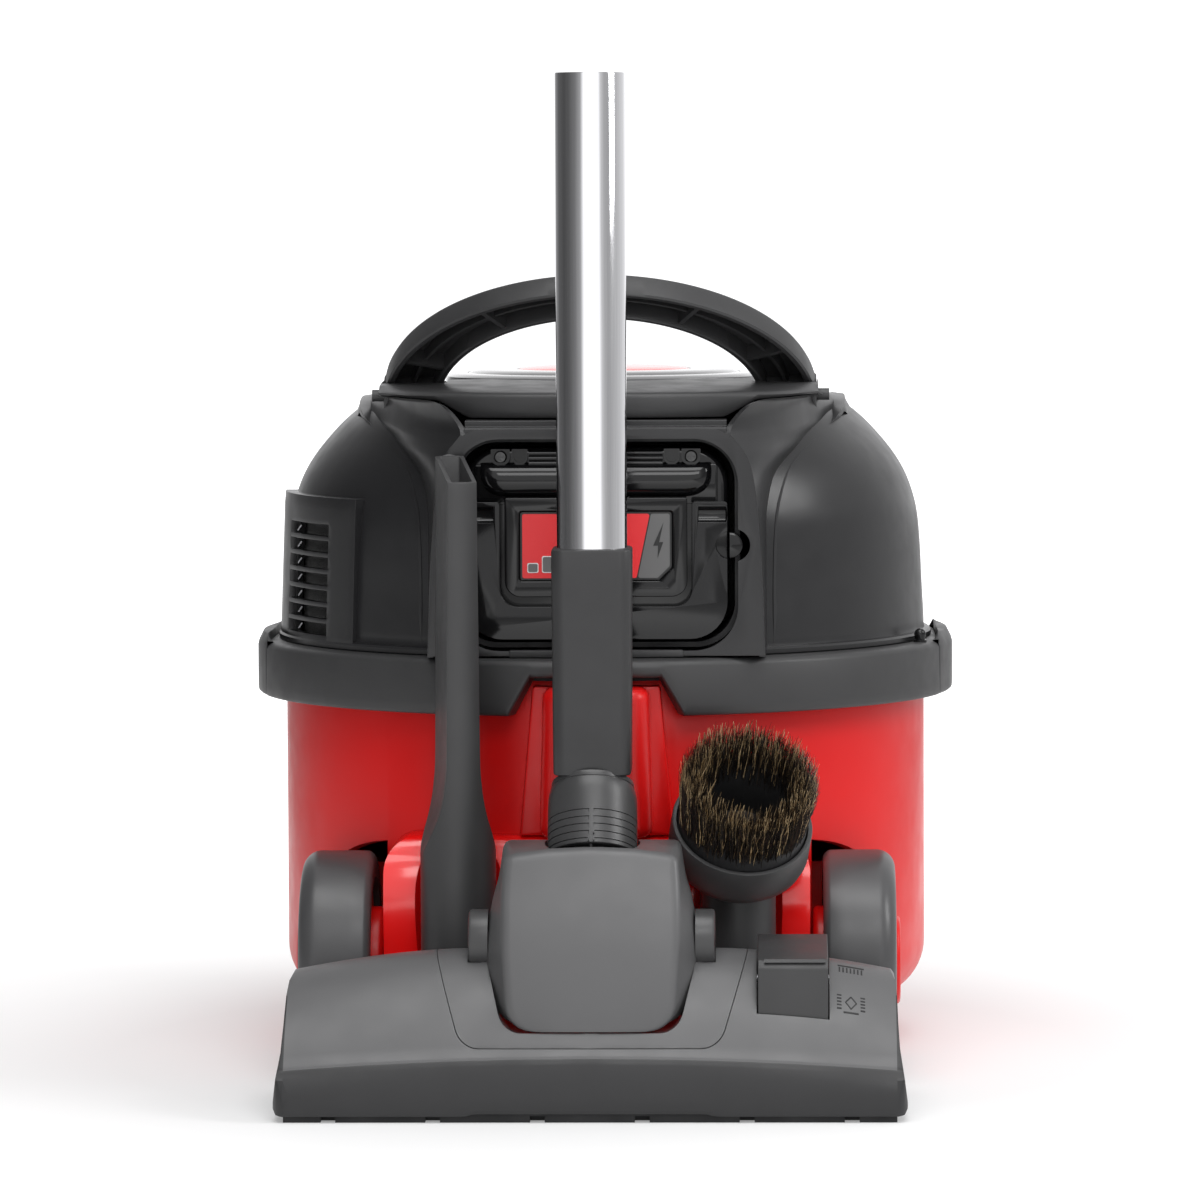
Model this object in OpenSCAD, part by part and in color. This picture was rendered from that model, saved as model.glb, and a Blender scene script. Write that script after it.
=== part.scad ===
// Cordless tub vacuum cleaner with its wand, floor head and tools parked behind it.
// Millimetres, +Z up. +Y is the front (hose side), -Y the rear (parking side).
// Sizes are set from the tub's vertical axis, which then moves to y = axis_y.

/* [Tub] */
// Outer radius of the tub
tub_r = 165.3; // [164:0.1:166]
// Height of the tub's underside
tub_z0 = 22; // [20:1:24]
// Height of the tub's rim
tub_z1 = 197; // [196:0.5:197]
// Wall thickness of the moulded shells
wall = 3; // [2.5:0.5:3]

/* [Rim band] */
// Outer radius of the rim band
band_r = 180; // [178:1:182]
// Bottom height of the rim band
band_z0 = 180.5; // [180:0.5:182]
// Top height of the rim band
band_z1 = 208.5; // [208:0.5:209]

/* [Wheels] */
// Radius of the rear tyres
tyre_r = 55; // [54:0.5:55]
// Width of the rear tyres
tyre_w = 36; // [34:1:36]
// Inner face of the rear tyres, from the middle
tyre_x = 111.5; // [111:0.5:112]
// Distance of the rear axle behind the tub's axis
axle_back = 135; // [133:1:136]

/* [Wand] */
// Outer radius of the steel tube
tube_r = 17; // [16.5:0.5:17]
// Height of the tube's open end
tube_z1 = 495; // [470:1:520]
// Distance of the wand behind the tub's axis
wand_back = 230; // [229:1:232]
// Lean of the floor head's neck
neck_lean = 26; // [24:1:27]

/* [Floor head] */
// Width of the floor head
head_w = 300; // [290:1:300]
// Distance of the floor head's lip behind the tub's axis
lip_back = 314; // [312:1:316]
// Height of the floor head's back
head_h = 76; // [74:1:77]

/* [Carry handle] */
// Lean of the parked carry handle from upright
handle_lean = 50; // [48:1:52]
// Rise of the carry handle's outer curve
handle_rise = 88; // [84:1:90]

/* [Hidden] */
$fn = 96;
axis_y = (lip_back - band_r) / 2;
gap = 0.4;
fit = 0.05;
steel = [0.75, 0.75, 0.77];
red = [0.85, 0.12, 0.12];
black = [0.13, 0.13, 0.14];
grey = [0.33, 0.33, 0.34];
dark = [0.22, 0.22, 0.23];
floor_r = 28;
well_r = 60;
well_x0 = 106;
dock_hw = 26;
dock_y = -196;
hook_y = -189;
hook_hw = 8;
tool_x = [-67.5, 69.5];
tool_y = -190;
post_r = 15.7;
rim_r = 42;
shoulder_r = 7;
axle_r = 4;
axle_in = 96;
stem_r = 4;
castor_x = 69;
castor_y = 83;
castor_r = 16;
castor_trail = 10;
castor_pin_r = 2.5;
pocket_r = 32;
deck_z = 199.5;
deck_top = deck_z + 6;
cuff_r = 21.6;
pivot_y = -258;
pivot_z = 80;
handle_y = -67;
handle_z = 335;
hinge_foot_x = 97.5;
hinge_pin_r = 3;
arch_r = 109.5;
arch_in = 81.5;
latch_hw = 52;
roller_y = -264;
roller_x = 100;
roller_z = 7.5;
latch_pin_z = 185;
latch_pin_r = 175.8;
latch_rod_r = 1.5;
lug_y = 23;
pedal_x0 = 79.5;
pedal_x1 = 112.5;
pedal_y = -262;
pedal_z = 62;
pedal_pin_r = 2;
bay_y = -165;
screw_x = 47;
screw_z = 307.2;
lid_r = 82;
button_y = 58;
button_r = 7;
inlet_z = 262;
sole_pin_r = 2;
brush_tilt = 42;

// Points along an arc in a plane, from angle a0 to a1
function arc(cx, cy, r, a0, a1, n = 8) =
    [for (i = [0 : n]) let (a = a0 + (a1 - a0) * i / n) [cx + r * cos(a), cy + r * sin(a)]];

// Outline of the dome, as radius and height from the band to the shoulder
dome_outer = [[165, 212], [165.3, 216], [164.2, 237], [163.2, 258], [161.7, 273], [159.1, 283.5],
    [154.9, 294], [148.7, 304], [139.9, 314.6], [132.5, 322], [124, 328.5], [112, 334], [84, 340]];

module on_drum_axis() translate([0, axis_y, 0]) children();

module ring(r_out, r_in, z0, z1) translate([0, 0, z0]) difference() {
    cylinder(r = r_out, h = z1 - z0);
    translate([0, 0, -1]) cylinder(r = r_in, h = z1 - z0 + 2);
}

// Cylinder along X between two places
module rod_x(r, x0, x1) translate([x0, 0, 0]) rotate([0, 90, 0]) cylinder(r = r, h = x1 - x0);

// Rectangle with round corners, as exact curves
module round_rect(x0, x1, y0, y1, r) union() {
    translate([x0 + r, y0]) square([x1 - x0 - 2 * r, y1 - y0]);
    translate([x0, y0 + r]) square([x1 - x0, y1 - y0 - 2 * r]);
    for (x = [x0 + r, x1 - r], y = [y0 + r, y1 - r]) translate([x, y]) circle(r = r, $fn = 48);
}

// Extrudes an X-Z outline from y0 to y1
module slab_y(y0, y1) translate([0, y1, 0]) rotate([90, 0, 0]) linear_extrude(y1 - y0) children();

// Extrudes a Y-Z outline from x0 to x1
module slab_x(x0, x1) translate([x0, 0, 0]) rotate([90, 0, 90]) linear_extrude(x1 - x0) children();

module box(x0, x1, y0, y1, z0, z1) translate([x0, y0, z0]) cube([x1 - x0, y1 - y0, z1 - z0]);

// ---------- Tub ----------
module tub_outline(inset) rotate_extrude() polygon(concat([[0, tub_z0 + inset]],
    arc(tub_r - floor_r, tub_z0 + floor_r, floor_r - inset, -90, 0, 6),
    [[tub_r - inset, tub_z1 + inset], [0, tub_z1 + inset]]));

module wheel_wells(grow) for (side = [-1, 1])
    translate([0, -axle_back, tyre_r]) rod_x(well_r + grow,
        side < 0 ? -158 - grow : well_x0 - grow, side < 0 ? -well_x0 + grow : 158 + grow);

module castor_pockets(grow) for (side = [-1, 1])
    translate([side * castor_x, castor_y, tub_z0 - 1]) cylinder(r = pocket_r + grow, h = 25 + grow);

module drum_shell() color(red) on_drum_axis() difference() {
    tub_outline(0);
    difference() {
        tub_outline(wall);
        wheel_wells(wall);
        castor_pockets(wall);
        for (side = [-1, 1]) translate([side * castor_x, castor_y, 24]) cylinder(r = 9, h = 42);
        for (side = [-1, 1]) translate([0, -axle_back, tyre_r])
            rod_x(12, side < 0 ? -well_x0 - 1 : 92, side < 0 ? -92 : well_x0 + 1);
    }
    wheel_wells(0);
    castor_pockets(0);
    for (side = [-1, 1]) translate([side * castor_x, castor_y, 24]) cylinder(r = stem_r + fit, h = 38);
    for (side = [-1, 1]) translate([0, -axle_back, tyre_r])
        rod_x(axle_r, side < 0 ? -well_x0 - 2 : axle_in, side < 0 ? -axle_in : well_x0 + 2);
    translate([0, 0, 100]) cylinder(r = tub_r - wall, h = 110);
}

module dock_column() color(red) on_drum_axis() difference() {
    box(-dock_hw, dock_hw, dock_y, -155, 124, 195);
    translate([0, 0, 110]) cylinder(r = tub_r + 0.2, h = 100);
    box(-hook_hw - 1, hook_hw + 1, hook_y - 3.5, hook_y + 3.5, 174, 200);
    box(-hook_hw - 2, hook_hw + 2, dock_y - 1, hook_y + 3.5, 189.6, 200);
}

// Side outline of the tail: a base tray for the tool posts under a gently bulging back
module tail_outline() polygon([[-92, 14], [-200, 14], [-200, 36], [-178, 40], [-178.5, 60], [-180.5, 76],
    [-181.5, 88], [-180.5, 98], [-177.5, 107], [-172, 115], [-165, 119.5], [-157, 121], [-92, 121]]);

module tail_block() color(red) difference() {
    on_drum_axis() difference() {
        intersection() {
            slab_y(-200, -92) round_rect(-105, 105, 14, 121, 15);
            slab_x(-106, 106) tail_outline();
        }
        translate([0, 0, 10]) cylinder(r = tub_r + 0.2, h = 130);
        for (x = tool_x) {
            translate([x, tool_y, 24]) cylinder(r = 23.5, h = 110);
            box(x - 23.5, x + 23.5, -201, tool_y, 24, 134);
        }
        box(-106, 106, -201, -160, 13, 20);
        for (side = [-1, 1]) translate([0, -axle_back, tyre_r])
            rod_x(axle_r, side < 0 ? -well_x0 - 2 : axle_in - 3, side < 0 ? 3 - axle_in : well_x0 + 2);
    }
    brush_lean() translate([0, 0, -34.5]) cylinder(r1 = 21, r2 = 35, h = 17);
    brush_lean() translate([0, 0, -17.6]) cylinder(r = 35, h = 18);
}

module tool_posts() color(dark) on_drum_axis() for (x = tool_x)
    translate([x, tool_y, 24]) difference() {
        union() {
            cylinder(r = 19.5, h = 4);
            cylinder(r = post_r, h = 50);
        }
        translate([0, 0, 6]) cylinder(r = 12, h = 60);
    }

module rim_seal() color(black) on_drum_axis() ring(tub_r - 0.5, tub_r - 9, tub_z1, deck_z);

module stub_axles() color(steel) on_drum_axis() for (side = [-1, 1])
    translate([0, -axle_back, tyre_r]) rod_x(axle_r, side < 0 ? -147.6 : axle_in, side < 0 ? -axle_in : 147.6);

// ---------- Wheels ----------
module tyre() rotate([0, 90, 0]) rotate_extrude() polygon(concat([[rim_r, 0], [tyre_r - shoulder_r, 0]],
    arc(tyre_r - shoulder_r, shoulder_r, shoulder_r, -90, 0, 5),
    arc(tyre_r - shoulder_r, tyre_w - shoulder_r, shoulder_r, 0, 90, 5), [[rim_r, tyre_w]]));

module hub() difference() {
    union() {
        rod_x(rim_r, 2, tyre_w - 3);
        rod_x(27, -4.8, 3);
        rod_x(22, tyre_w - 4, tyre_w + 2.5);
    }
    rod_x(axle_r + fit, -6, tyre_w + 0.5);
}

module placed_wheel(side) on_drum_axis() translate([side * tyre_x, -axle_back, tyre_r])
    mirror([side < 0 ? 1 : 0, 0, 0]) children();

module tyre_left() color(dark) placed_wheel(-1) tyre();
module tyre_right() color(dark) placed_wheel(1) tyre();
module hub_left() color(red) placed_wheel(-1) hub();
module hub_right() color(red) placed_wheel(1) hub();

module castor_fork(side) color(dark) on_drum_axis() translate([side * castor_x, castor_y, 0]) {
    translate([0, 0, 38]) cylinder(r = stem_r, h = 22);
    translate([0, 0, 38]) cylinder(r = 14, h = 5);
    for (face = [-1, 1]) translate([face * 11.5, 0, 0]) rotate([0, 90, 0]) linear_extrude(2.5, center = true)
        polygon([[-40, -8], [-40, 8], [-castor_r + 5, -castor_trail + 6], [-castor_r + 5, -castor_trail - 6]]);
    translate([0, -castor_trail, castor_r]) rod_x(castor_pin_r, -12, 12);
}
module castor_fork_left() castor_fork(-1);
module castor_fork_right() castor_fork(1);

module castor_wheel(side) color(grey) on_drum_axis()
    translate([side * castor_x, castor_y - castor_trail, castor_r]) difference() {
        rod_x(castor_r, -9.5, 9.5);
        rod_x(castor_pin_r + fit, -11, 11);
    }
module castor_wheel_left() castor_wheel(-1);
module castor_wheel_right() castor_wheel(1);

// ---------- Rim band and latches ----------
module latch_space(grow) for (side = [-1, 1])
    box(side < 0 ? -band_r - 5 : 171, side < 0 ? -171 : band_r + 5, -latch_hw - grow, latch_hw + grow,
        band_z0 - 5, band_z1 + 5);

module rim_band() color(grey) on_drum_axis() difference() {
    rotate_extrude() polygon([[tub_r + 0.9, band_z0], [band_r - 1, band_z0], [band_r, band_z0 + 1],
        [band_r - 1, band_z1 - 3], [band_r - 4, band_z1], [150, band_z1], [150, deck_top + 0.2],
        [tub_r + 0.9, deck_top + 0.2]]);
    slab_y(-190, -150) polygon([[-43, band_z0 - 1], [43, band_z0 - 1], [32.5, 199.6], [-32.5, 199.6]]);
    difference() {
        latch_space(0.5);
        for (side = [-1, 1], lug = [-1, 1]) translate([side * 174, lug * lug_y, latch_pin_z])
            cube([7, 5, 7], center = true);
    }
    for (side = [-1, 1]) translate([side * latch_pin_r, 0, latch_pin_z])
        rotate([90, 0, 0]) cylinder(r = latch_rod_r, h = 62, center = true);
}

module rim_stud() color(black) on_drum_axis() translate([162, -60.5, band_z1]) {
    cylinder(r = 3, h = 4);
    translate([0, 0, 4]) intersection() {
        sphere(r = 3);
        box(-4, 4, -4, 4, 0, 4);
    }
}

module latch(side) color(grey) on_drum_axis() mirror([side < 0 ? 1 : 0, 0, 0]) difference() {
    intersection() {
        ring(band_r, 160, band_z0 + 0.3, 213);
        slab_y(-latch_hw, latch_hw) polygon([[171.5, 213], [190, 213], [190, 180], [177.3, 180],
            [171.5, 184.5]]);
    }
    for (lug = [-1, 1]) box(170, 185, lug * lug_y - 3, lug * lug_y + 3, 175, 190);
    translate([latch_pin_r, 0, latch_pin_z]) rotate([90, 0, 0])
        cylinder(r = latch_rod_r + fit, h = 120, center = true);
}
module latch_left() latch(-1);
module latch_right() latch(1);

module latch_pins() color(steel) on_drum_axis() for (side = [-1, 1])
    translate([side * latch_pin_r, 0, latch_pin_z]) rotate([90, 0, 0])
        cylinder(r = latch_rod_r, h = 60, center = true);

// ---------- Dome and battery bay ----------
module dome_solid(inset) rotate_extrude() polygon(concat([[0, 205]], [[tub_r - inset, 205]],
    [for (p = dome_outer) [p[0] - inset, p[1] - (p[1] > 300 ? inset : 0)]], [[0, 342 - inset]]));

// Half outline of the bay surround, from its foot to its rounded top
bay_side = [[83, 209.5], [82, 240], [80.5, 265], [78.5, 290], [76, 303], [71.5, 312], [63.5, 319.5],
    [56, 321.5]];

module bay_outline(grow) polygon(concat([for (p = bay_side) [p[0] + grow, p[1] + (p[1] > 310 ? grow : 0)]],
    [for (i = [len(bay_side) - 1 : -1 : 0]) let (p = bay_side[i])
        [-p[0] - grow, p[1] + (p[1] > 310 ? grow : 0)]]));

module bay_opening(grow) union() {
    round_rect(-70 - grow, 70 + grow, 212 - grow, 316.5 + grow, 22);
    translate([68 + grow, 264]) circle(r = 8, $fn = 48);
}

module dome_cover() color(black) on_drum_axis() difference() {
    union() {
        dome_solid(0);
        difference() {
            ring(169, 150, 208.6, 212.5);
            louvre_wedge(46.5, 88.5, 205, 213);
        }
    }
    dome_solid(wall);
    translate([0, 0, 200]) cylinder(r = 162, h = 8.5);
    translate([0, 0, 300]) cylinder(r = lid_r + 1, h = 60);
    ring(200, 10, 190, 208.6);
    slab_y(-200, -92) bay_outline(0.3);
    slab_y(-163, -42) round_rect(-118, 118, 325.5, 360, 3);
    for (side = [-1, 1]) translate([side * hinge_foot_x, handle_y, handle_z]) rod_x(11.6, -15, 15);
    translate([0, 100, inlet_z]) rotate([-90, 0, 0]) cylinder(r = 30.3, h = 100);
    louvre_wedge(57, 72, 214, 270);
}

module bay_surround() color(black) on_drum_axis() difference() {
    slab_y(bay_y, -95) bay_outline(0);
    slab_y(bay_y - 1, -94) bay_opening(0);
    slab_y(-160, -94) bay_outline(-3.5);
}

module bay_box() color(black) on_drum_axis() difference() {
    slab_y(-159, -92) round_rect(-71, 71, 213.5, 317.5, 22);
    slab_y(-160, -95) round_rect(-68.5, 68.5, 216, 315, 20);
}

module battery_pack() color(black) on_drum_axis() difference() {
    union() {
        slab_y(-158, -96) round_rect(-65, 65, 217.5, 312, 19);
        slab_y(-165, -158) round_rect(-65, 65, 217.5, 284, 19);
        translate([0, -156, 298]) rod_x(9, -58, 58);
    }
    slab_y(-166, -161) difference() {
        round_rect(-47.2, 47.2, 233.6, 292, 10);
        round_rect(-45, 45, 238.6, 300, 8);
    }
    slab_y(-166, -163.5) round_rect(-37.5, 37.5, 246.7, 281, 1.5);
    slab_y(-155, -98) round_rect(-61, 61, 221.5, 308, 15);
    box(62, 70, -166, -150, 255.5, 272.5);
    for (x = [-screw_x, screw_x]) translate([x, -158, screw_z]) rotate([90, 0, 0]) cylinder(r = 4.2, h = 10);
}

module battery_cells() color([0.3, 0.5, 0.35]) on_drum_axis()
    for (col = [0 : 4], row = [0 : 3]) translate([-44 + 22 * col, -103, 232 + 19.5 * row])
        rotate([90, 0, 0]) cylinder(r = 9.1, h = 49);

module battery_label() color(red) on_drum_axis() slab_y(-164.9, -163.5) polygon([[-37, 247.2], [31, 247.2],
    [37, 253.5], [37, 280.5], [-37, 280.5]]);

module battery_catch() color(black) on_drum_axis() intersection() {
    translate([66, -164, 264]) rotate([-90, 0, 0]) cylinder(r = 6.5, h = 4.4);
    box(66, 80, -170, -140, 250, 280);
}

module bay_screws() color(steel) on_drum_axis() for (x = [-screw_x, screw_x])
    translate([x, -158, screw_z]) rotate([90, 0, 0]) difference() {
        cylinder(r = 3.2, h = 2.6);
        box(-4, 4, -0.5, 0.5, 1.6, 3);
    }

// ---------- Bridge, handle and lid ----------
module top_bridge() color(grey) on_drum_axis() difference() {
    union() {
        slab_y(-150, -54) polygon([[-63, 326], [63, 326], [84, 329], [112, 337], [112, 340], [60, 343.5],
            [-60, 343.5], [-112, 340], [-112, 337], [-84, 329]]);
        for (side = [-1, 1]) box(side < 0 ? -117 : 72, side < 0 ? -72 : 117, -93, -43, 327.5, 342);
    }
    for (side = [-1, 1]) translate([0, handle_y, handle_z])
        rod_x(21, side < 0 ? -arch_r - gap : 77, side < 0 ? -77 : arch_r + gap);
    translate([0, handle_y, handle_z]) rod_x(hinge_pin_r, -125, 125);
    translate([0, 0, 320]) cylinder(r = lid_r + 1, h = 40);
    translate([0, 0, 300]) cylinder(r = 101, h = 27.6);
}

module handle_pins() color(steel) on_drum_axis() for (side = [-1, 1])
    translate([0, handle_y, handle_z]) rod_x(hinge_pin_r, side < 0 ? -116 : 73, side < 0 ? -73 : 116);

// Half-ellipse arch in the handle's own plane, feet at z = 0
module arch(a, b) polygon([for (i = [0 : 36]) [a * cos(i * 5), b * sin(i * 5)]]);

module carry_handle() color(grey) on_drum_axis() translate([0, handle_y, handle_z])
    rotate([handle_lean, 0, 0]) difference() {
        union() {
            intersection() {
                slab_y(-7, 7) difference() {
                    arch(arch_r, handle_rise);
                    arch(arch_in, handle_rise - 19);
                }
                box(-112, 112, -8, 8, 0, 100);
            }
            for (side = [-1, 1]) rod_x(11, side < 0 ? -arch_r : arch_in, side < 0 ? -arch_in : arch_r);
        }
        rod_x(hinge_pin_r + fit, -120, 120);
    }

module lid_cover() color(grey) on_drum_axis() difference() {
    union() {
        translate([0, 0, 339]) cylinder(r1 = lid_r, r2 = lid_r - 1.5, h = 5);
        translate([0, 0, 330]) cylinder(r = lid_r - 5, h = 9);
    }
    translate([0, 0, 329]) cylinder(r = lid_r - 8, h = 12);
    translate([0, 0, 342]) cylinder(r = 71, h = 4);
    translate([0, button_y, 335]) cylinder(r = button_r + gap, h = 12);
}

module lid_ring() color(grey) on_drum_axis() difference() {
    translate([0, 0, 342]) cylinder(r1 = 70.6, r2 = 66, h = 4.4);
    translate([0, 0, 341]) cylinder(r = 45.3, h = 8);
    translate([0, button_y, 335]) cylinder(r = button_r + gap, h = 14);
}

module lid_disc() color(red) on_drum_axis() translate([0, 0, 342]) {
    cylinder(r = 45, h = 3.8);
    translate([0, 0, 3.8]) cylinder(r1 = 45, r2 = 30, h = 1.4);
}

module power_button() color(red) on_drum_axis() translate([0, button_y, 337.5])
    cylinder(r = button_r, h = 10.4);

// ---------- Louvres, filter, inlet ----------
// Wedge through the dome wall between two angles from the rear, on the left side
module louvre_wedge(a0, a1, z0, z1) intersection() {
    translate([0, 0, z0]) linear_extrude(z1 - z0) polygon([[0, 0], [-260 * sin(a0), -260 * cos(a0)],
        [-260 * sin(a1), -260 * cos(a1)]]);
    ring(190, 120, z0 - 1, z1 + 1);
}

module louvre_panel() color(black) on_drum_axis() difference() {
    intersection() {
        difference() {
            ring(tub_r + 2.4, tub_r - 1.5, 209.2, 268);
            translate([0, 0, 260]) difference() {
                cylinder(r = 190, h = 40);
                translate([0, 0, -1]) cylinder(r1 = tub_r + 2.4, r2 = tub_r - 2, h = 42);
            }
        }
        louvre_wedge(47, 88, 209, 284);
    }
    dome_solid(0);
    translate([0, 0, 205]) cylinder(r = tub_r + 0.4, h = 75);
    for (slot = [0 : 6]) louvre_wedge(56, 73, 213.5 + 7.6 * slot, 219 + 7.6 * slot);
}

module exhaust_filter() color([0.85, 0.85, 0.8]) on_drum_axis() intersection() {
    ring(158, 147, 212, 272);
    louvre_wedge(52, 77, 211, 273);
}

module hose_inlet() color(dark) on_drum_axis() translate([0, 0, inlet_z]) difference() {
    union() {
        translate([0, 140, 0]) rotate([-90, 0, 0]) cylinder(r = 30, h = 27);
        translate([0, 165.6, 0]) rotate([-90, 0, 0]) cylinder(r = 36, h = 4.4);
        translate([0, 168, 0]) rotate([-90, 0, 0]) cylinder(r = 27, h = 10);
    }
    translate([0, 130, 0]) rotate([-90, 0, 0]) cylinder(r = 22.5, h = 60);
}

// ---------- Motor, board and filter ----------
module motor_deck() color(dark) on_drum_axis() difference() {
    ring(tub_r - 0.6, 30, deck_z, deck_top);
    slab_y(-190, -160) polygon([[-43, 170], [43, 170], [32.5, 199.6], [-32.5, 199.6]]);
}

module motor_housing() color(grey) on_drum_axis() difference() {
    ring(62, 0, 205.7, 318);
    translate([0, 0, 210]) cylinder(r = 58, h = 104);
    translate([0, 0, 200]) cylinder(r = 30, h = 20);
    translate([0, 0, 300]) cylinder(r = 5 + fit, h = 30);
}

module motor_rotor() color(steel) on_drum_axis() {
    translate([0, 0, 232]) cylinder(r = 5, h = 84);
    translate([0, 0, 256]) cylinder(r = 32, h = 46);
}

module fan_wheel() color(steel) on_drum_axis() difference() {
    union() {
        translate([0, 0, 226]) cylinder(r = 52, h = 2);
        translate([0, 0, 244]) cylinder(r = 52, h = 2);
        translate([0, 0, 226]) cylinder(r = 12, h = 20);
        for (blade = [0 : 8]) rotate([0, 0, blade * 40]) box(11, 51, -1, 1, 226, 246);
    }
    translate([0, 0, 220]) cylinder(r = 5, h = 30);
}

module control_board() color([0.1, 0.4, 0.2]) on_drum_axis() {
    box(-40, 40, -90, -88.4, 225, 300);
    box(-30, -5, -88.4, -80, 235, 255);
    box(8, 28, -88.4, -78, 262, 284);
}

module filter_frame() color(dark) on_drum_axis() {
    ring(150, 138, 192, deck_z);
    ring(44, 36, 150, deck_z);
    for (spoke = [0 : 3]) rotate([0, 0, 45 + spoke * 90]) box(40, 142, -3, 3, 193, deck_z);
}

module filter_cone() color([0.93, 0.93, 0.9]) on_drum_axis() difference() {
    translate([0, 0, 105]) cylinder(r1 = 80, r2 = 137, h = 87);
    translate([0, 0, 108]) cylinder(r1 = 77, r2 = 134, h = 85);
}

// ---------- Wand ----------
module wand_frame() on_drum_axis() translate([0, -wand_back, 0]) children();

module wand_tube() color(steel) wand_frame() difference() {
    translate([0, 0, 172]) cylinder(r = tube_r, h = tube_z1 - 172);
    translate([0, 0, 171]) cylinder(r = tube_r - 0.8, h = tube_z1 - 170);
}

module wand_sleeve() color(dark) difference() {
    wand_frame() difference() {
        union() {
            translate([0, 0, 158]) linear_extrude(109) round_rect(-19.25, 19.25, -19.25, 19.25, 7);
            box(-hook_hw, hook_hw, 18, 43, 190, 197);
            box(-hook_hw, hook_hw, hook_y + wand_back - 2.5, hook_y + wand_back + 2.5, 178, 197);
        }
        translate([0, 0, 172]) cylinder(r = tube_r, h = 100);
        translate([0, 0, 150]) cylinder(r = 15, h = 30);
    }
    lean_frame() translate([0, 0, -13]) cylinder(r = 20.4, h = 7.6);
}

module lean_frame() on_drum_axis() translate([0, -wand_back, 158]) rotate([-neck_lean, 0, 0]) children();

module swivel_cuff() color(grey) lean_frame() difference() {
    union() {
        translate([0, 0, -43.4]) cylinder(r = cuff_r, h = 30);
        translate([0, 0, -13.4]) cylinder(r1 = cuff_r, r2 = 20, h = 5);
        translate([0, 0, -8.4]) cylinder(r = 20, h = 3);
    }
    translate([0, 0, -44]) cylinder(r = 15, h = 60);
    for (groove = [0 : 4]) translate([0, 0, -26.7 - 3.7 * groove]) difference() {
        ring(24, 20.9, 0, 0.6);
        box(-1, 1, -30, 0, -1, 3);
    }
}

// ---------- Neck ----------
module hood_face(half_top, half_bottom, z_top, z_bottom, r) polygon(concat(
    arc(half_bottom - r, z_bottom + r, r, -90, 0, 6), [[half_top, z_top - 30]],
    arc(half_top - 3, z_top - 4, 3, 0, 80, 4), [[0, z_top]], arc(-half_top + 3, z_top - 4, 3, 100, 180, 4),
    [[-half_top, z_top - 30]], arc(-half_bottom + r, z_bottom + r, r, 180, 270, 6)));

module hood_profile(inset) polygon([[-301 + inset, 42], [-298 + inset, 62], [-292 + inset, 84],
    [-284 + inset, 104],
    [-274 + inset, 126 - inset], [-246, 131 - inset], [-238, 118], [-238, 84], [-262, 56], [-285, 42]]);

module neck_hood() color(grey) on_drum_axis() difference() {
    intersection() {
        slab_x(-52, 52) hood_profile(0);
        slab_y(-310, -230) hood_face(48, 43, 126, 42, 12);
    }
    intersection() {
        slab_x(-60, 60) polygon([[-298.5, 30], [-295.5, 62], [-289.5, 84], [-281.5, 104], [-272, 123.5],
            [-230, 123.5], [-230, 30]]);
        slab_y(-320, -220) hood_face(45.5, 40.5, 123.5, 20, 10);
    }
    translate([0, pivot_y, pivot_z]) rod_x(8, -60, 60);
    translate([0, -wand_back, 158]) rotate([-neck_lean, 0, 0]) translate([0, 0, -60]) cylinder(r = 23, h = 70);
}

module neck_tube() color(black) difference() {
    union() {
        lean_frame() translate([0, 0, -66]) cylinder(r = 19.6, h = 22.2);
        lean_frame() translate([0, 0, -60]) cylinder(r = 15 - fit, h = 40);
        on_drum_axis() translate([0, pivot_y, pivot_z]) rod_x(19, -41, 41);
    }
    lean_frame() translate([0, 0, -62]) cylinder(r = 12.5, h = 50);
    for (side = [-1, 1]) on_drum_axis() translate([0, pivot_y, pivot_z])
        rod_x(7 + fit, side < 0 ? -50 : 26, side < 0 ? -26 : 50);
}

module pivot_bosses() color(grey) on_drum_axis() for (side = [-1, 1]) translate([0, pivot_y, pivot_z]) {
    rod_x(15, side < 0 ? -59 : 49.5, side < 0 ? -49.5 : 59);
    rod_x(7, side < 0 ? -50 : 30, side < 0 ? -30 : 50);
    box(side < 0 ? -59 : 53, side < 0 ? -53 : 59, -7, 7, 5 - pivot_z, 0);
}

// ---------- Floor head ----------
module head_profile(inset) polygon(concat([[-lip_back + inset, 3], [-lip_back + inset, 26]],
    arc(-lip_back + 5, 26, 5 - inset, 180, 150, 3),
    [[-304 + inset * 0.6, 37 - inset]], [[-286, 58 - inset]], arc(-256, 50, 26 - inset, 118, 60, 5),
    [[-226, 58 - inset], [-222 - inset, 46], [-222 - inset, 3]]));

module head_front(inset) polygon(concat([[head_w / 2 - inset, 3]], [[head_w / 2 - 2 - inset, 48]],
    arc(head_w / 2 - 20, 46, 18 - inset, 5, 75, 5), [[62, head_h - inset], [-62, head_h - inset]],
    arc(-head_w / 2 + 20, 46, 18 - inset, 105, 175, 5),
    [[-head_w / 2 + 2 + inset, 48], [-head_w / 2 + inset, 3]]));

module hood_recess(grow) slab_y(-306 - grow, -220) polygon(concat(arc(31, 52.5, 12 + grow, -90, 0, 4),
    [[51.3 + grow, 90], [-51.3 - grow, 90]], arc(-31, 52.5, 12 + grow, 180, 270, 4)));

module insert_outline(grow) polygon(concat(arc(52 + grow, 47, 12, -90, 0, 4),
    [[75 + grow, 95], [-75 - grow, 95]],
    arc(-52 - grow, 47, 12, 180, 270, 4)));

module pedal_space(grow) box(pedal_x0 - grow, pedal_x1 + grow, -294 - grow, -238 + grow, 46, 90);

module head_body() intersection() {
    slab_x(-head_w / 2, head_w / 2) head_profile(0);
    slab_y(-320, -210) head_front(0);
}

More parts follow.
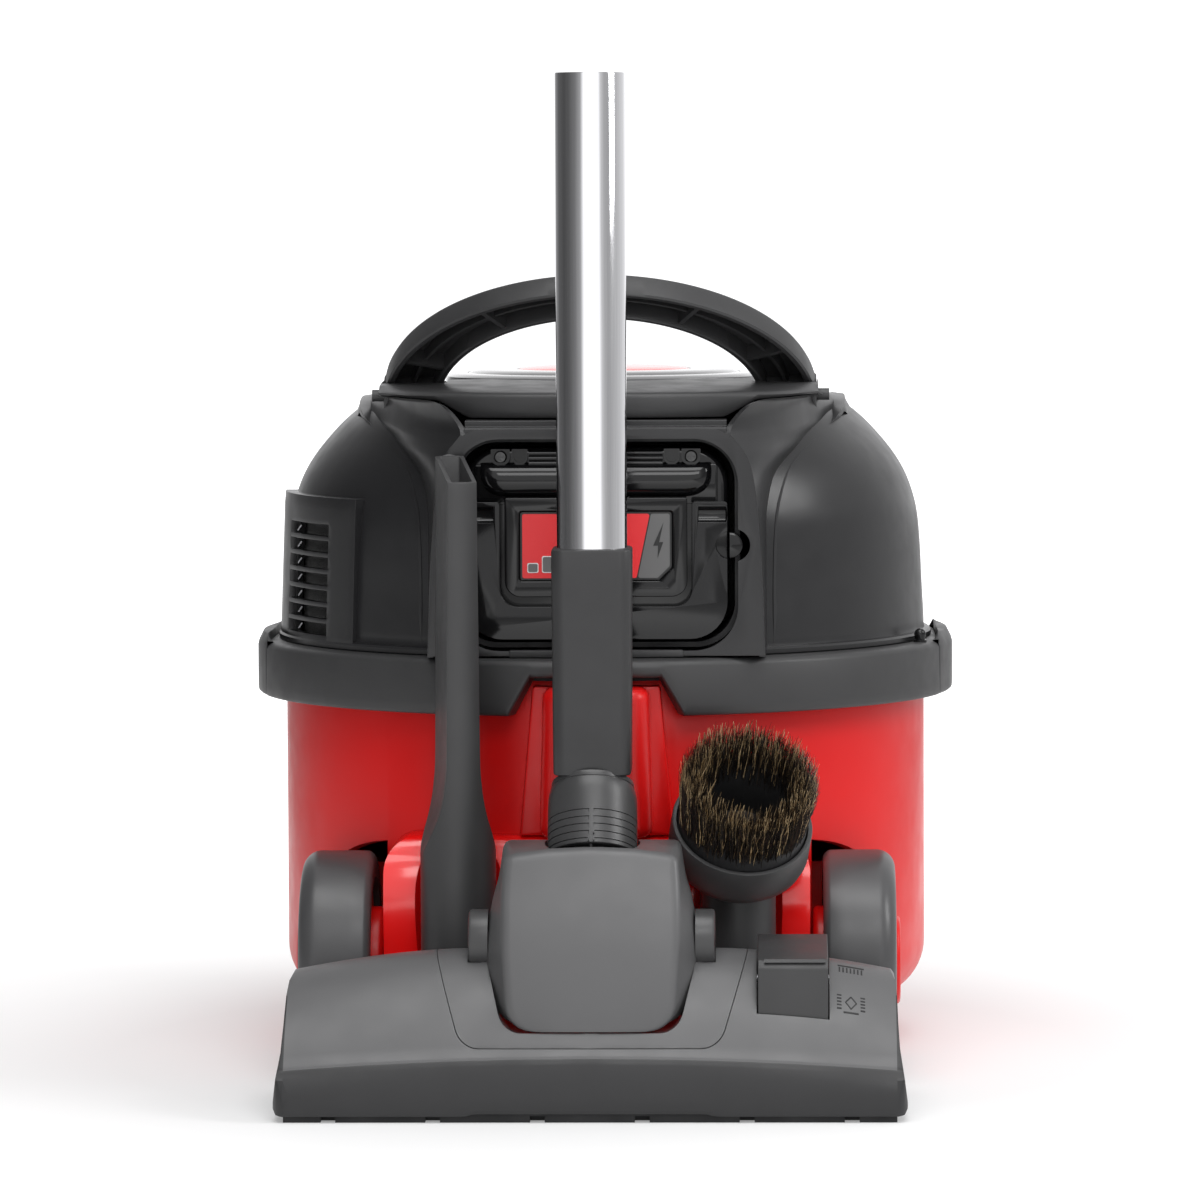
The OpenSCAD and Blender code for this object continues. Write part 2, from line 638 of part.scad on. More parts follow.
module head_cavity() intersection() {
    slab_x(-head_w / 2 + wall, head_w / 2 - wall) head_profile(wall);
    slab_y(-320, -210) head_front(wall);
}

module head_shell() color(grey) on_drum_axis() difference() {
    head_body();
    difference() {
        head_cavity();
        box(76.4, 115.6, -297, -235, 42.5, 90);
    }
    box(-145, 145, -310, -226, 2, 8);
    intersection() {
        slab_y(-312, -234) insert_outline(0.3);
        box(-90, 90, -312, -234, 34, 95);
    }
    hood_recess(2);
    pedal_space(0.5);
    translate([0, pedal_y, pedal_z]) rod_x(pedal_pin_r, pedal_x0 - 3, pedal_x1 + 3);
}

module insert_panel() color(grey) on_drum_axis() difference() {
    intersection() {
        head_body();
        slab_y(-311.5, -234.5) insert_outline(0);
        box(-90, 90, -312, -234.5, 34.5, 95);
    }
    head_cavity();
    hood_recess(2.4);
    for (side = [-1, 1])
        box(side < 0 ? -59.3 : 52.7, side < 0 ? -52.7 : 59.3, pivot_y - 15.5, pivot_y + 15.5, 20, 90);
    translate([0, pivot_y, pivot_z]) rod_x(15.5, -59.3, 59.3);
}

module sole_plate() color(black) on_drum_axis() difference() {
    union() {
        box(-145, 145, -311, -225, 0, 5);
        for (side = [-1, 1], face = [-1, 1]) translate([side * roller_x + face * 13.5, roller_y, roller_z])
            cube([3, 9, 9], center = true);
    }
    for (notch = [-2.5 : 2.5]) box(notch * 49.5 - 3.5, notch * 49.5 + 3.5, -312, -304, -1, 3);
    box(-50, 50, -282, -245, -1, 6);
    box(-132, 132, -299, -291, -1, 6);
    box(-132, 132, -243, -235, -1, 6);
    for (side = [-1, 1])
        box(side * roller_x - 11.5, side * roller_x + 11.5, roller_y - 10, roller_y + 10, -1, 6);
    translate([0, roller_y, roller_z]) rod_x(sole_pin_r + fit, -120, 120);
}

module rocker_pedal() color(dark) on_drum_axis() difference() {
    union() {
        slab_x(pedal_x0, pedal_x1) polygon([[-292, 50.5], [-291, 70.5], [-287.5, 74], [-262, 78], [-243, 81],
            [-239, 78.5], [-239, 66], [-262, 55], [-280, 50]]);
        translate([0, pedal_y, pedal_z]) rod_x(5, pedal_x0, pedal_x1);
    }
    translate([0, pedal_y, pedal_z]) rod_x(pedal_pin_r + fit, pedal_x0 - 1, pedal_x1 + 1);
}

module pedal_pin() color(steel) on_drum_axis() translate([0, pedal_y, pedal_z])
    rod_x(pedal_pin_r, pedal_x0 - 3, pedal_x1 + 3);

module brush_strips() color(black) on_drum_axis() {
    for (y = [-295, -239]) {
        box(-130, 130, y - 2.5, y + 2.5, 0.5, 14);
        box(-130, 130, y - 3.5, y + 3.5, 10, 14);
    }
    for (x = [-128, 125]) box(x, x + 3, -296, -238, 11, 14);
}

module sole_rollers() color(grey) on_drum_axis() for (side = [-1, 1])
    translate([side * roller_x, roller_y, roller_z]) {
        rod_x(7.4, -9, 9);
        rod_x(sole_pin_r, -15, 15);
    }

// ---------- Parked tools ----------
module crevice_tool() color(dark) on_drum_axis() translate([tool_x[0], tool_y, 0]) difference() {
    union() {
        translate([0, 0, 28.6]) cylinder(r = 18.5, h = 90);
        intersection() {
            rotate([0, 0, 13]) union() {
                translate([0, 0, 118]) linear_extrude(192) round_rect(-7, 7, -18.3, 18.3, 2);
                slab_y(-18.3, 18.3) polygon([[-15, 112], [15, 112], [7, 160], [-7, 160]]);
            }
            translate([0, 0, 100]) cylinder(r = 19.8, h = 220);
        }
    }
    rotate([0, 0, 13]) {
        translate([0, 0, 130]) linear_extrude(200) round_rect(-5, 5, -16.3, 16.3, 1);
        slab_x(-12, 12) polygon([[-30, 290], [-19, 297], [19, 309], [30, 330], [-30, 330]]);
    }
    translate([0, 0, 20]) cylinder(r = post_r + fit, h = 62);
    translate([0, 0, 80]) cylinder(r = 13, h = 35);
    translate([0, 0, 114]) cylinder(r1 = 13, r2 = 5, h = 18);
}

module brush_lean() on_drum_axis() translate([72, -213, 132])
    rotate([brush_tilt, 0, 0]) rotate([0, 7, 0]) children();

module brush_body() color(dark) difference() {
    union() {
        on_drum_axis() translate([tool_x[1], tool_y, 28.6]) cylinder(r = 18.5, h = 76);
        brush_lean() translate([0, 0, -17]) cylinder(r = 34.2, h = 17);
        brush_lean() translate([0, 0, -33]) cylinder(r1 = 20, r2 = 34.2, h = 16.2);
    }
    brush_lean() translate([0, 0, -13]) cylinder(r = 32, h = 14);
    on_drum_axis() translate([tool_x[1], tool_y, 20]) cylinder(r = post_r + fit, h = 62);
    on_drum_axis() translate([tool_x[1], tool_y, 80]) cylinder(r = 13, h = 26);
    brush_lean() translate([0, 0, -30]) cylinder(r = 13, h = 20);
}

module bristle_ring() color([0.25, 0.2, 0.14]) brush_lean() difference() {
    translate([0, 0, -12.9]) cylinder(r1 = 30.6, r2 = 33.2, h = 49);
    translate([0, 0, -14]) cylinder(r1 = 19, r2 = 21, h = 60);
}

drum_shell();
dock_column();
tail_block();
tool_posts();
rim_seal();
stub_axles();
tyre_left();
tyre_right();
hub_left();
hub_right();
castor_fork_left();
castor_fork_right();
castor_wheel_left();
castor_wheel_right();
rim_band();
rim_stud();
latch_left();
latch_right();
latch_pins();
dome_cover();
bay_surround();
bay_box();
battery_pack();
battery_cells();
battery_label();
battery_catch();
bay_screws();
top_bridge();
handle_pins();
carry_handle();
lid_cover();
lid_ring();
lid_disc();
power_button();
louvre_panel();
exhaust_filter();
hose_inlet();
motor_deck();
motor_housing();
motor_rotor();
fan_wheel();
control_board();
filter_frame();
filter_cone();
wand_tube();
wand_sleeve();
swivel_cuff();
neck_hood();
neck_tube();
pivot_bosses();
head_shell();
insert_panel();
sole_plate();
rocker_pedal();
pedal_pin();
brush_strips();
sole_rollers();
crevice_tool();
brush_body();
bristle_ring();
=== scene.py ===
"""Looks of a cordless tub vacuum cleaner, parked with its wand, floor head and tools."""
import math
import random

import bmesh
import bpy
from mathutils import Matrix, Vector


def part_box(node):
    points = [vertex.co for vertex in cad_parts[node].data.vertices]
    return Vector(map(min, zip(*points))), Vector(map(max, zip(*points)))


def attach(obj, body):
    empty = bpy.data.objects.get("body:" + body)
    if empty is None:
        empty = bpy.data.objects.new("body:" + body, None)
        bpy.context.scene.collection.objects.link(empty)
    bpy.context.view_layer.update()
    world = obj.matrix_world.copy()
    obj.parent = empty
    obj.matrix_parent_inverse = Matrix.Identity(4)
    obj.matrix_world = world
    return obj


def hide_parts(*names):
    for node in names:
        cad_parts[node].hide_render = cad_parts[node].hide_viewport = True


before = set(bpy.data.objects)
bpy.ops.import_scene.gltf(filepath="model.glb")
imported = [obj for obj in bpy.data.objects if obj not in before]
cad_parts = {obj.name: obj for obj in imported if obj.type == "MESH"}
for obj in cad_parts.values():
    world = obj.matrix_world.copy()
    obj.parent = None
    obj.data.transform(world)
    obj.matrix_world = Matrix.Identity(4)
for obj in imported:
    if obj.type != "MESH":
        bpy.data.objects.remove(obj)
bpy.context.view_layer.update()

# Shapes are written in millimetres from the tub's vertical axis: +Y is the machine's front.
MM = 0.001
SEAL_LOW, SEAL_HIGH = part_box("rim_seal")
TUB_Y = (SEAL_LOW[1] + SEAL_HIGH[1]) / 2
TUB_R = 165.3
WAND_Y = -230.0
NECK_LEAN = math.radians(26)


# ---------- Small tools ----------
def place(point):
    return (point[0] * MM, point[1] * MM + TUB_Y, point[2] * MM)


def mix(a, b, t):
    return a + (b - a) * t


def smooth(low, high, value):
    t = min(1.0, max(0.0, (value - low) / (high - low)))
    return t * t * (3 - 2 * t)


def interpolate(table, x):
    """Smooth curve through a table of (x, y), by cubic Hermite pieces."""
    if x <= table[0][0]:
        return table[0][1]
    for i in range(len(table) - 1):
        (x0, y0), (x1, y1) = table[i], table[i + 1]
        if x <= x1:
            before = table[i - 1] if i else table[i]
            after = table[i + 2] if i + 2 < len(table) else table[i + 1]
            m0 = (y1 - before[1]) / (x1 - before[0])
            m1 = (after[1] - y0) / (after[0] - x0)
            h = x1 - x0
            t = (x - x0) / h
            return ((2 * t**3 - 3 * t**2 + 1) * y0 + (t**3 - 2 * t**2 + t) * h * m0
                    + (-2 * t**3 + 3 * t**2) * y1 + (t**3 - t**2) * h * m1)
    return table[-1][1]


def turned(degrees, axis):
    return Matrix.Rotation(math.radians(degrees), 4, axis)


def span(side, near, far):
    """The two ends, in rising order, of a stretch on one side of the middle."""
    return sorted((side * near, side * far))


def spaced(low, high, step):
    count = max(1, round((high - low) / step))
    return [mix(low, high, i / count) for i in range(count + 1)]


def fillet(points, radii, steps=6):
    """A closed outline with its corners rounded to the given radii."""
    out = []
    n = len(points)
    if not isinstance(radii, (list, tuple)):
        radii = [radii] * n
    for i, radius in enumerate(radii):
        here = Vector(points[i])
        to_prev = (Vector(points[i - 1]) - here)
        to_next = (Vector(points[(i + 1) % n]) - here)
        if radius <= 0:
            out.append(tuple(here))
            continue
        a, b = to_prev.normalized(), to_next.normalized()
        half = a.angle(b) / 2
        reach = min(radius / math.tan(half), to_prev.length * 0.49, to_next.length * 0.49)
        radius = reach * math.tan(half)
        centre = here + (a + b).normalized() * (radius / math.sin(half))
        start, end = here + a * reach - centre, here + b * reach - centre
        turn = start.angle(end)
        side = 1 if start.x * end.y - start.y * end.x > 0 else -1
        for k in range(steps + 1):
            angle = side * turn * k / steps
            c, s = math.cos(angle), math.sin(angle)
            out.append((centre.x + start.x * c - start.y * s, centre.y + start.x * s + start.y * c))
    return out


def rectangle(x0, x1, y0, y1, radius, steps=8):
    return fillet([(x0, y0), (x1, y0), (x1, y1), (x0, y1)], radius, steps)


def mirrored(points):
    """Closes a right-hand half outline, listed bottom to top, with its mirror image."""
    return list(points) + [(-x, y) for x, y in reversed(points)]


# ---------- Meshes ----------
def build(name, points, faces):
    mesh = bpy.data.meshes.new(name)
    mesh.from_pydata([place(p) for p in points], [], faces)
    mesh.validate()
    shape = bmesh.new()
    shape.from_mesh(mesh)
    bmesh.ops.remove_doubles(shape, verts=shape.verts, dist=1e-7)
    bmesh.ops.recalc_face_normals(shape, faces=shape.faces)
    shape.to_mesh(mesh)
    shape.free()
    obj = bpy.data.objects.new(name, mesh)
    bpy.context.scene.collection.objects.link(obj)
    return obj


def grid(name, rows, around=True, ends=True):
    """A surface through rows of points; around closes each row, ends caps the first and last."""
    width = len(rows[0])
    points = [p for row in rows for p in row]
    faces = []
    for i in range(len(rows) - 1):
        for j in range(width if around else width - 1):
            k = (j + 1) % width
            faces.append((i * width + j, i * width + k, (i + 1) * width + k, (i + 1) * width + j))
    if ends:
        faces.append(tuple(reversed(range(width))))
        faces.append(tuple(range((len(rows) - 1) * width, len(rows) * width)))
    return build(name, points, faces)


def tube_grid(name, rings):
    """A torus-like surface: rings of points, closed both ways."""
    width = len(rings[0])
    points = [p for ring in rings for p in ring]
    faces = []
    for i in range(len(rings)):
        n = (i + 1) % len(rings)
        for j in range(width):
            k = (j + 1) % width
            faces.append((i * width + j, i * width + k, n * width + k, n * width + j))
    return build(name, points, faces)


def prism(name, outline, low, high, along="y"):
    """An outline pushed from low to high: x and z along y, y and z along x, x and y along z."""
    turn = {"y": lambda u, v, w: (u, w, v), "x": lambda u, v, w: (w, u, v), "z": lambda u, v,
            w: (u, v, w)}[along]
    return grid(name, [[turn(u, v, w) for u, v in outline] for w in (low, high)])


def lathe(name, profile, segments=160, closed=False, at=(0, 0, 0), turn=None):
    """A profile of (radius, height) spun about Z, then turned and moved to its place."""
    matrix = Matrix.Translation(at) @ (turn if turn else Matrix.Identity(4))
    rings = []
    for s in range(segments):
        a = 2 * math.pi * s / segments
        rings.append([tuple(matrix @ Vector((r * math.cos(a), r * math.sin(a), h))) for r, h in profile])
    if closed:
        return tube_grid(name, rings)
    points = [p for ring in rings for p in ring]
    width = len(profile)
    faces = []
    for i in range(segments):
        n = (i + 1) % segments
        faces += [(i * width + j, n * width + j, n * width + j + 1, i * width + j + 1)
                  for j in range(width - 1)]
    return build(name, points, faces)


def apply_modifiers(obj):
    bpy.context.view_layer.update()
    graph = bpy.context.evaluated_depsgraph_get()
    mesh = bpy.data.meshes.new_from_object(obj.evaluated_get(graph))
    old = obj.data
    obj.modifiers.clear()
    obj.data = mesh
    bpy.data.meshes.remove(old)
    return obj


def boolean(obj, cutters, operation="DIFFERENCE"):
    for cutter in cutters:
        modifier = obj.modifiers.new("boolean", "BOOLEAN")
        modifier.operation = operation
        modifier.object = cutter
        modifier.solver = "EXACT"
    apply_modifiers(obj)
    for cutter in cutters:
        bpy.data.objects.remove(cutter)
    return obj


def copy_of(obj, name):
    twin = bpy.data.objects.new(name, obj.data.copy())
    bpy.context.scene.collection.objects.link(twin)
    return twin


def edge_round(obj, width, segments=3, angle=32):
    modifier = obj.modifiers.new("edges", "BEVEL")
    modifier.width = width * MM
    modifier.segments = segments
    modifier.limit_method = "ANGLE"
    modifier.angle_limit = math.radians(angle)
    modifier.use_clamp_overlap = True
    modifier.harden_normals = False
    return apply_modifiers(obj)


def join(name, parts):
    shape = bmesh.new()
    for part in parts:
        shape.from_mesh(part.data)
        bpy.data.objects.remove(part)
    mesh = bpy.data.meshes.new(name)
    shape.to_mesh(mesh)
    shape.free()
    obj = bpy.data.objects.new(name, mesh)
    bpy.context.scene.collection.objects.link(obj)
    return obj


def shade(obj, angle=38):
    for face in obj.data.polygons:
        face.use_smooth = True
    obj.data.set_sharp_from_angle(angle=math.radians(angle))


def piece(obj, body, slot, material, *nodes, angle=38):
    """Finishes a mesh as a piece of the object: smooth, coloured, riding on its body."""
    if obj.name != obj.data.name:
        obj.data.name = obj.name
    obj.data.materials.clear()
    obj.data.materials.append(material)
    shade(obj, angle)
    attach(obj, body)
    if nodes:
        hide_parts(*nodes)
    return obj


# ---------- Camera, light and floor ----------
def look_from(position, forward, roll):
    camera = bpy.data.cameras.new("photo_camera")
    camera.sensor_width = 36
    camera.lens = 185.3
    camera.clip_start, camera.clip_end = 0.1, 50
    obj = bpy.data.objects.new("photo_camera", camera)
    bpy.context.scene.collection.objects.link(obj)
    turn = Vector(forward).to_track_quat("-Z", "Y").to_matrix().to_4x4()
    obj.matrix_world = Matrix.Translation(position) @ turn @ turned(roll, "Z")
    bpy.context.scene.camera = obj


CAMERA_PITCH = math.radians(-3.84)
CAMERA_TURN = math.radians(1.586)
look_from(place((86, -3200, 441)),
          (-math.sin(CAMERA_TURN) * math.cos(CAMERA_PITCH), math.cos(CAMERA_TURN) * math.cos(CAMERA_PITCH),
           math.sin(CAMERA_PITCH)), -0.27)


def softbox(name, position, target, size, watts):
    light = bpy.data.lights.new(name, "AREA")
    light.shape = "RECTANGLE"
    light.size, light.size_y = size
    light.energy = watts
    obj = bpy.data.objects.new(name, light)
    bpy.context.scene.collection.objects.link(obj)
    obj.location = position
    obj.rotation_mode = "QUATERNION"
    obj.rotation_quaternion = (Vector(target) - Vector(position)).to_track_quat("-Z", "Y")


# The studio around the object: brightness by bearing, from the camera's side round to the right.
WALLS = [(-180, 1.2), (-165, 1.1), (-150, 0.30), (-125, 0.11), (-95, 0.07), (-74, 0.10), (-50, 0.19),
         (-32, 0.36), (-21, 1.15), (30, 1.15), (38, 0.6), (50, 0.42), (62, 0.36), (85, 0.45), (105, 0.53),
         (140, 0.75), (165, 1.1), (180, 1.2)]


def studio():
    softbox("key_right", (1.75, -0.45, 1.35), (0, 0.05, 0.2), (0.6, 0.8), 12)
    softbox("front_high", (0.35, -2.3, 2.0), (0, 0, 0.1), (1.2, 0.8), 12)
    softbox("top", (0.0, -0.6, 2.1), (0, -0.15, 0.0), (1.6, 1.1), 20)
    world = bpy.data.worlds.new("studio")
    bpy.context.scene.world = world
    world.use_nodes = True
    nodes, links = world.node_tree.nodes, world.node_tree.links
    background = nodes["Background"]
    coordinates = nodes.new("ShaderNodeTexCoord")
    split = nodes.new("ShaderNodeSeparateXYZ")
    turned = nodes.new("ShaderNodeMath")
    turned.operation = "MULTIPLY"
    turned.inputs[1].default_value = -1
    bearing = nodes.new("ShaderNodeMath")
    bearing.operation = "ARCTAN2"
    span = nodes.new("ShaderNodeMapRange")
    span.inputs["From Min"].default_value = -math.pi
    span.inputs["From Max"].default_value = math.pi
    walls = nodes.new("ShaderNodeValToRGB")
    elements = walls.color_ramp.elements
    for i, (degrees, level) in enumerate(WALLS):
        element = elements[min(i, 1)] if i < 2 else elements.new((degrees + 180) / 360)
        element.position = (degrees + 180) / 360
        element.color = (level, level, level * 1.01, 1)
    links.new(coordinates.outputs["Generated"], split.inputs[0])
    links.new(split.outputs["Y"], turned.inputs[0])
    links.new(split.outputs["X"], bearing.inputs[0])
    links.new(turned.outputs[0], bearing.inputs[1])
    links.new(bearing.outputs[0], span.inputs["Value"])
    links.new(span.outputs[0], walls.inputs[0])
    links.new(walls.outputs[0], background.inputs["Color"])
    background.inputs["Strength"].default_value = 1.0


studio()
bpy.context.scene.view_settings.view_transform = "Standard"


# ---------- Materials ----------
def shader(name):
    material = bpy.data.materials.new(name)
    material.use_nodes = True
    return material, material.node_tree, material.node_tree.nodes["Principled BSDF"]


def add(tree, kind, **values):
    node = tree.nodes.new(kind)
    for key, value in values.items():
        if key in node.inputs:
            node.inputs[key].default_value = value
        else:
            setattr(node, key, value)
    return node


def noise(tree, scale, detail=2.0, stretch=(1, 1, 1)):
    coordinates = tree.nodes.get("Texture Coordinate") or add(tree, "ShaderNodeTexCoord")
    mapping = add(tree, "ShaderNodeMapping")
    mapping.inputs["Scale"].default_value = stretch
    texture = add(tree, "ShaderNodeTexNoise", Scale=scale, Detail=detail)
    tree.links.new(coordinates.outputs["Object"], mapping.inputs[0])
    tree.links.new(mapping.outputs[0], texture.inputs["Vector"])
    return texture


def ramp(tree, source, stops):
    node = add(tree, "ShaderNodeValToRGB")
    elements = node.color_ramp.elements
    for i, (position, colour) in enumerate(stops):
        element = elements[i] if i < 2 else elements.new(position)
        element.position = position
        element.color = (*colour, 1)
    tree.links.new(source, node.inputs[0])
    return node.outputs[0]


def grey_ramp(tree, source, low, high):
    return ramp(tree, source, [(0.35, (low,) * 3), (0.65, (high,) * 3)])


def bump(tree, base, source, depth, strength=1.0):
    node = add(tree, "ShaderNodeBump")
    node.inputs["Strength"].default_value = strength
    node.inputs["Distance"].default_value = depth
    tree.links.new(source, node.inputs["Height"])
    tree.links.new(node.outputs[0], base.inputs["Normal"])
    return node


def plastic(name, colour, rough, grain=900, depth=0.00004, variation=0.10, coat=0.0, specular=0.5):
    """Moulded plastic: fine spark-eroded grain, uneven gloss and a slight change of tone."""
    material, tree, base = shader(name)
    tone = noise(tree, 14, 3)
    low = tuple(c * (1 - variation) for c in colour)
    high = tuple(min(1.0, c * (1 + variation)) for c in colour)
    tree.links.new(ramp(tree, tone.outputs["Fac"], [(0.3, low), (0.7, high)]), base.inputs["Base Color"])
    wear = noise(tree, 60, 4)
    tree.links.new(grey_ramp(tree, wear.outputs["Fac"], rough * 0.9, rough * 1.12), base.inputs["Roughness"])
    bump(tree, base, noise(tree, grain, 2).outputs["Fac"], depth)
    base.inputs["Coat Weight"].default_value = coat
    base.inputs["Coat Roughness"].default_value = 0.12
    base.inputs["Specular IOR Level"].default_value = specular
    return material


def metal(name, colour, rough, stretch=(1, 1, 1), depth=0.000004):
    material, tree, base = shader(name)
    base.inputs["Metallic"].default_value = 1.0
    streaks = noise(tree, 900, 3, stretch)
    low = tuple(c * 0.93 for c in colour)
    tree.links.new(ramp(tree, streaks.outputs["Fac"], [(0.3, low), (0.7, colour)]), base.inputs["Base Color"])
    tree.links.new(grey_ramp(tree, streaks.outputs["Fac"], rough * 0.8, rough * 1.2),
                   base.inputs["Roughness"])
    bump(tree, base, streaks.outputs["Fac"], depth)
    return material


def felt(name, colour):
    material, tree, base = shader(name)
    fibres = noise(tree, 700, 5, (1, 1, 3))
    dark = tuple(c * 0.7 for c in colour)
    tree.links.new(ramp(tree, fibres.outputs["Fac"], [(0.3, dark), (0.7, colour)]), base.inputs["Base Color"])
    base.inputs["Roughness"].default_value = 0.95
    base.inputs["Sheen Weight"].default_value = 0.3
    bump(tree, base, fibres.outputs["Fac"], 0.0003)
    return material


def hair(name, root, tip):
    """Natural bristle: a darker and a lighter tone, mixed in streaks along the strand."""
    material, tree, base = shader(name)
    streaks = noise(tree, 500, 2, (1, 1, 0.2))
    tree.links.new(ramp(tree, streaks.outputs["Fac"], [(0.35, root), (0.65, tip)]), base.inputs["Base Color"])
    base.inputs["Roughness"].default_value = 0.42
    bump(tree, base, streaks.outputs["Fac"], 0.00001)
    return material


RED = plastic("red_gloss_plastic", (0.72, 0.005, 0.005), 0.36, 2600, 0.000004, 0.03, coat=0.06, specular=0.4)
RED_BRIGHT = plastic("red_tail_plastic", (0.95, 0.006, 0.006), 0.22, 2600, 0.000003, 0.03, coat=0.7)
DOME_BLACK = plastic("satin_black_plastic", (0.0135, 0.0135, 0.0145), 0.34, 2400, 0.000006, 0.08, coat=0.06)
PACK_BLACK = plastic("gloss_black_plastic", (0.005, 0.005, 0.0055), 0.10, 1500, 0.000002, 0.08, coat=0.0,
                     specular=0.4)
BAND_GREY = plastic("band_grey_plastic", (0.036, 0.036, 0.037), 0.46, 2400, 0.00002, 0.06)
HANDLE_GREY = plastic("handle_grey_plastic", (0.033, 0.033, 0.034), 0.45, 2400, 0.00002, 0.06)
HEAD_GREY = plastic("head_grey_plastic", (0.098, 0.098, 0.100), 0.40, 2400, 0.00002, 0.05)
# The head's own grey, painted much darker as shade on the upright lip.
LIP_SHADE_GREY = plastic("lip_painted_shade_plastic", (0.017, 0.017, 0.018), 0.42, 2400, 0.00002, 0.06)
SLEEVE_GREY = plastic("sleeve_grey_plastic", (0.026, 0.026, 0.027), 0.48, 2400, 0.00002, 0.05)
CUFF_GREY = plastic("cuff_grey_plastic", (0.052, 0.052, 0.053), 0.34, 2400, 0.00002, 0.05)
TOOL_GREY = plastic("tool_grey_plastic", (0.042, 0.042, 0.043), 0.46, 2400, 0.00002, 0.06)
LID_GREY = plastic("lid_grey_plastic", (0.060, 0.060, 0.062), 0.14, 1500, 0.000004, 0.06, coat=1.0)
TYRE = plastic("tyre_rubber", (0.062, 0.062, 0.064), 0.36, 1300, 0.00003, 0.08)
SEAL = plastic("seal_rubber", (0.010, 0.010, 0.011), 0.65, 600, 0.00005, 0.10)
BOARD = plastic("board_laminate", (0.012, 0.100, 0.030), 0.40, 300, 0.00005, 0.15)
CELL_WRAP = plastic("cell_wrap", (0.030, 0.150, 0.085), 0.30, 300, 0.00002, 0.10)
STEEL = metal("plain_steel", (0.55, 0.55, 0.57), 0.30)
CHROME = metal("wand_chrome", (0.93, 0.93, 0.95), 0.09, (1, 1, 0.02))
ALLOY = metal("cast_alloy", (0.62, 0.63, 0.65), 0.40)
FELT = felt("filter_felt", (0.70, 0.68, 0.62))
# Painted shade: the exhaust filter is near black so that the louvre slots read dark.
SLOT_SHADE_FELT = felt("filter_painted_shade_felt", (0.010, 0.010, 0.010))


def map_range(tree, source, from_min, from_max, to_min, to_max):
    node = add(tree, "ShaderNodeMapRange")
    for socket, value in (("From Min", from_min), ("From Max", from_max), ("To Min", to_min),
                          ("To Max", to_max)):
        node.inputs[socket].default_value = value
    tree.links.new(source, node.inputs["Value"])
    return node


def stage_floor():
    material, tree, base = shader("studio_floor")
    speckle = noise(tree, 3, 2)
    tree.links.new(ramp(tree, speckle.outputs["Fac"], [(0.3, (0.60,) * 3), (0.7, (0.62,) * 3)]),
                   base.inputs["Base Color"])
    base.inputs["Roughness"].default_value = 0.9
    base.inputs["Specular IOR Level"].default_value = 0.05
    # The floor glows as painted light where the camera sees it: dim near the object as painted shade round
    # its foot, brighter farther out, one white with the background.
    coordinates = tree.nodes["Texture Coordinate"]
    split = add(tree, "ShaderNodeSeparateXYZ")
    tree.links.new(coordinates.outputs["Object"], split.inputs[0])

    def sum_of(kind, a, b):
        node = add(tree, "ShaderNodeMath", operation=kind)
        for socket, value in zip(node.inputs, (a, b)):
            if isinstance(value, (int, float)):
                socket.default_value = value
            else:
                tree.links.new(value, socket)
        return node.outputs[0]

    depth = sum_of("ADD", split.outputs["Y"], 3.13)
    sideways = sum_of("ADD", sum_of("MULTIPLY", depth, 0.0277), sum_of("SUBTRACT", split.outputs["X"], 0.086))
    spread = sum_of("ABSOLUTE", sum_of("DIVIDE", sideways, depth), 0)
    lane = map_range(tree, spread, 0.105, 0.20, 1.0, 0.12)
    lane.interpolation_type = "SMOOTHSTEP"
    length = add(tree, "ShaderNodeVectorMath", operation="LENGTH")
    tree.links.new(coordinates.outputs["Object"], length.inputs[0])
    # Painted shade: the glow drops to about a quarter within a quarter metre of the object.
    far = map_range(tree, length.outputs["Value"], 0.25, 1.3, 0.26, 1.15)
    glow = sum_of("MULTIPLY", lane.outputs[0], far.outputs[0])
    base.inputs["Emission Color"].default_value = (1, 1, 1, 1)
    tree.links.new(glow, base.inputs["Emission Strength"])
    size = 12000
    floor = grid("studio_floor_plane", [[(-size, -size, 0), (size, -size, 0)],
                                        [(-size, size, 0), (size, size, 0)]], around=False, ends=False)
    floor.data.materials.append(material)


stage_floor()

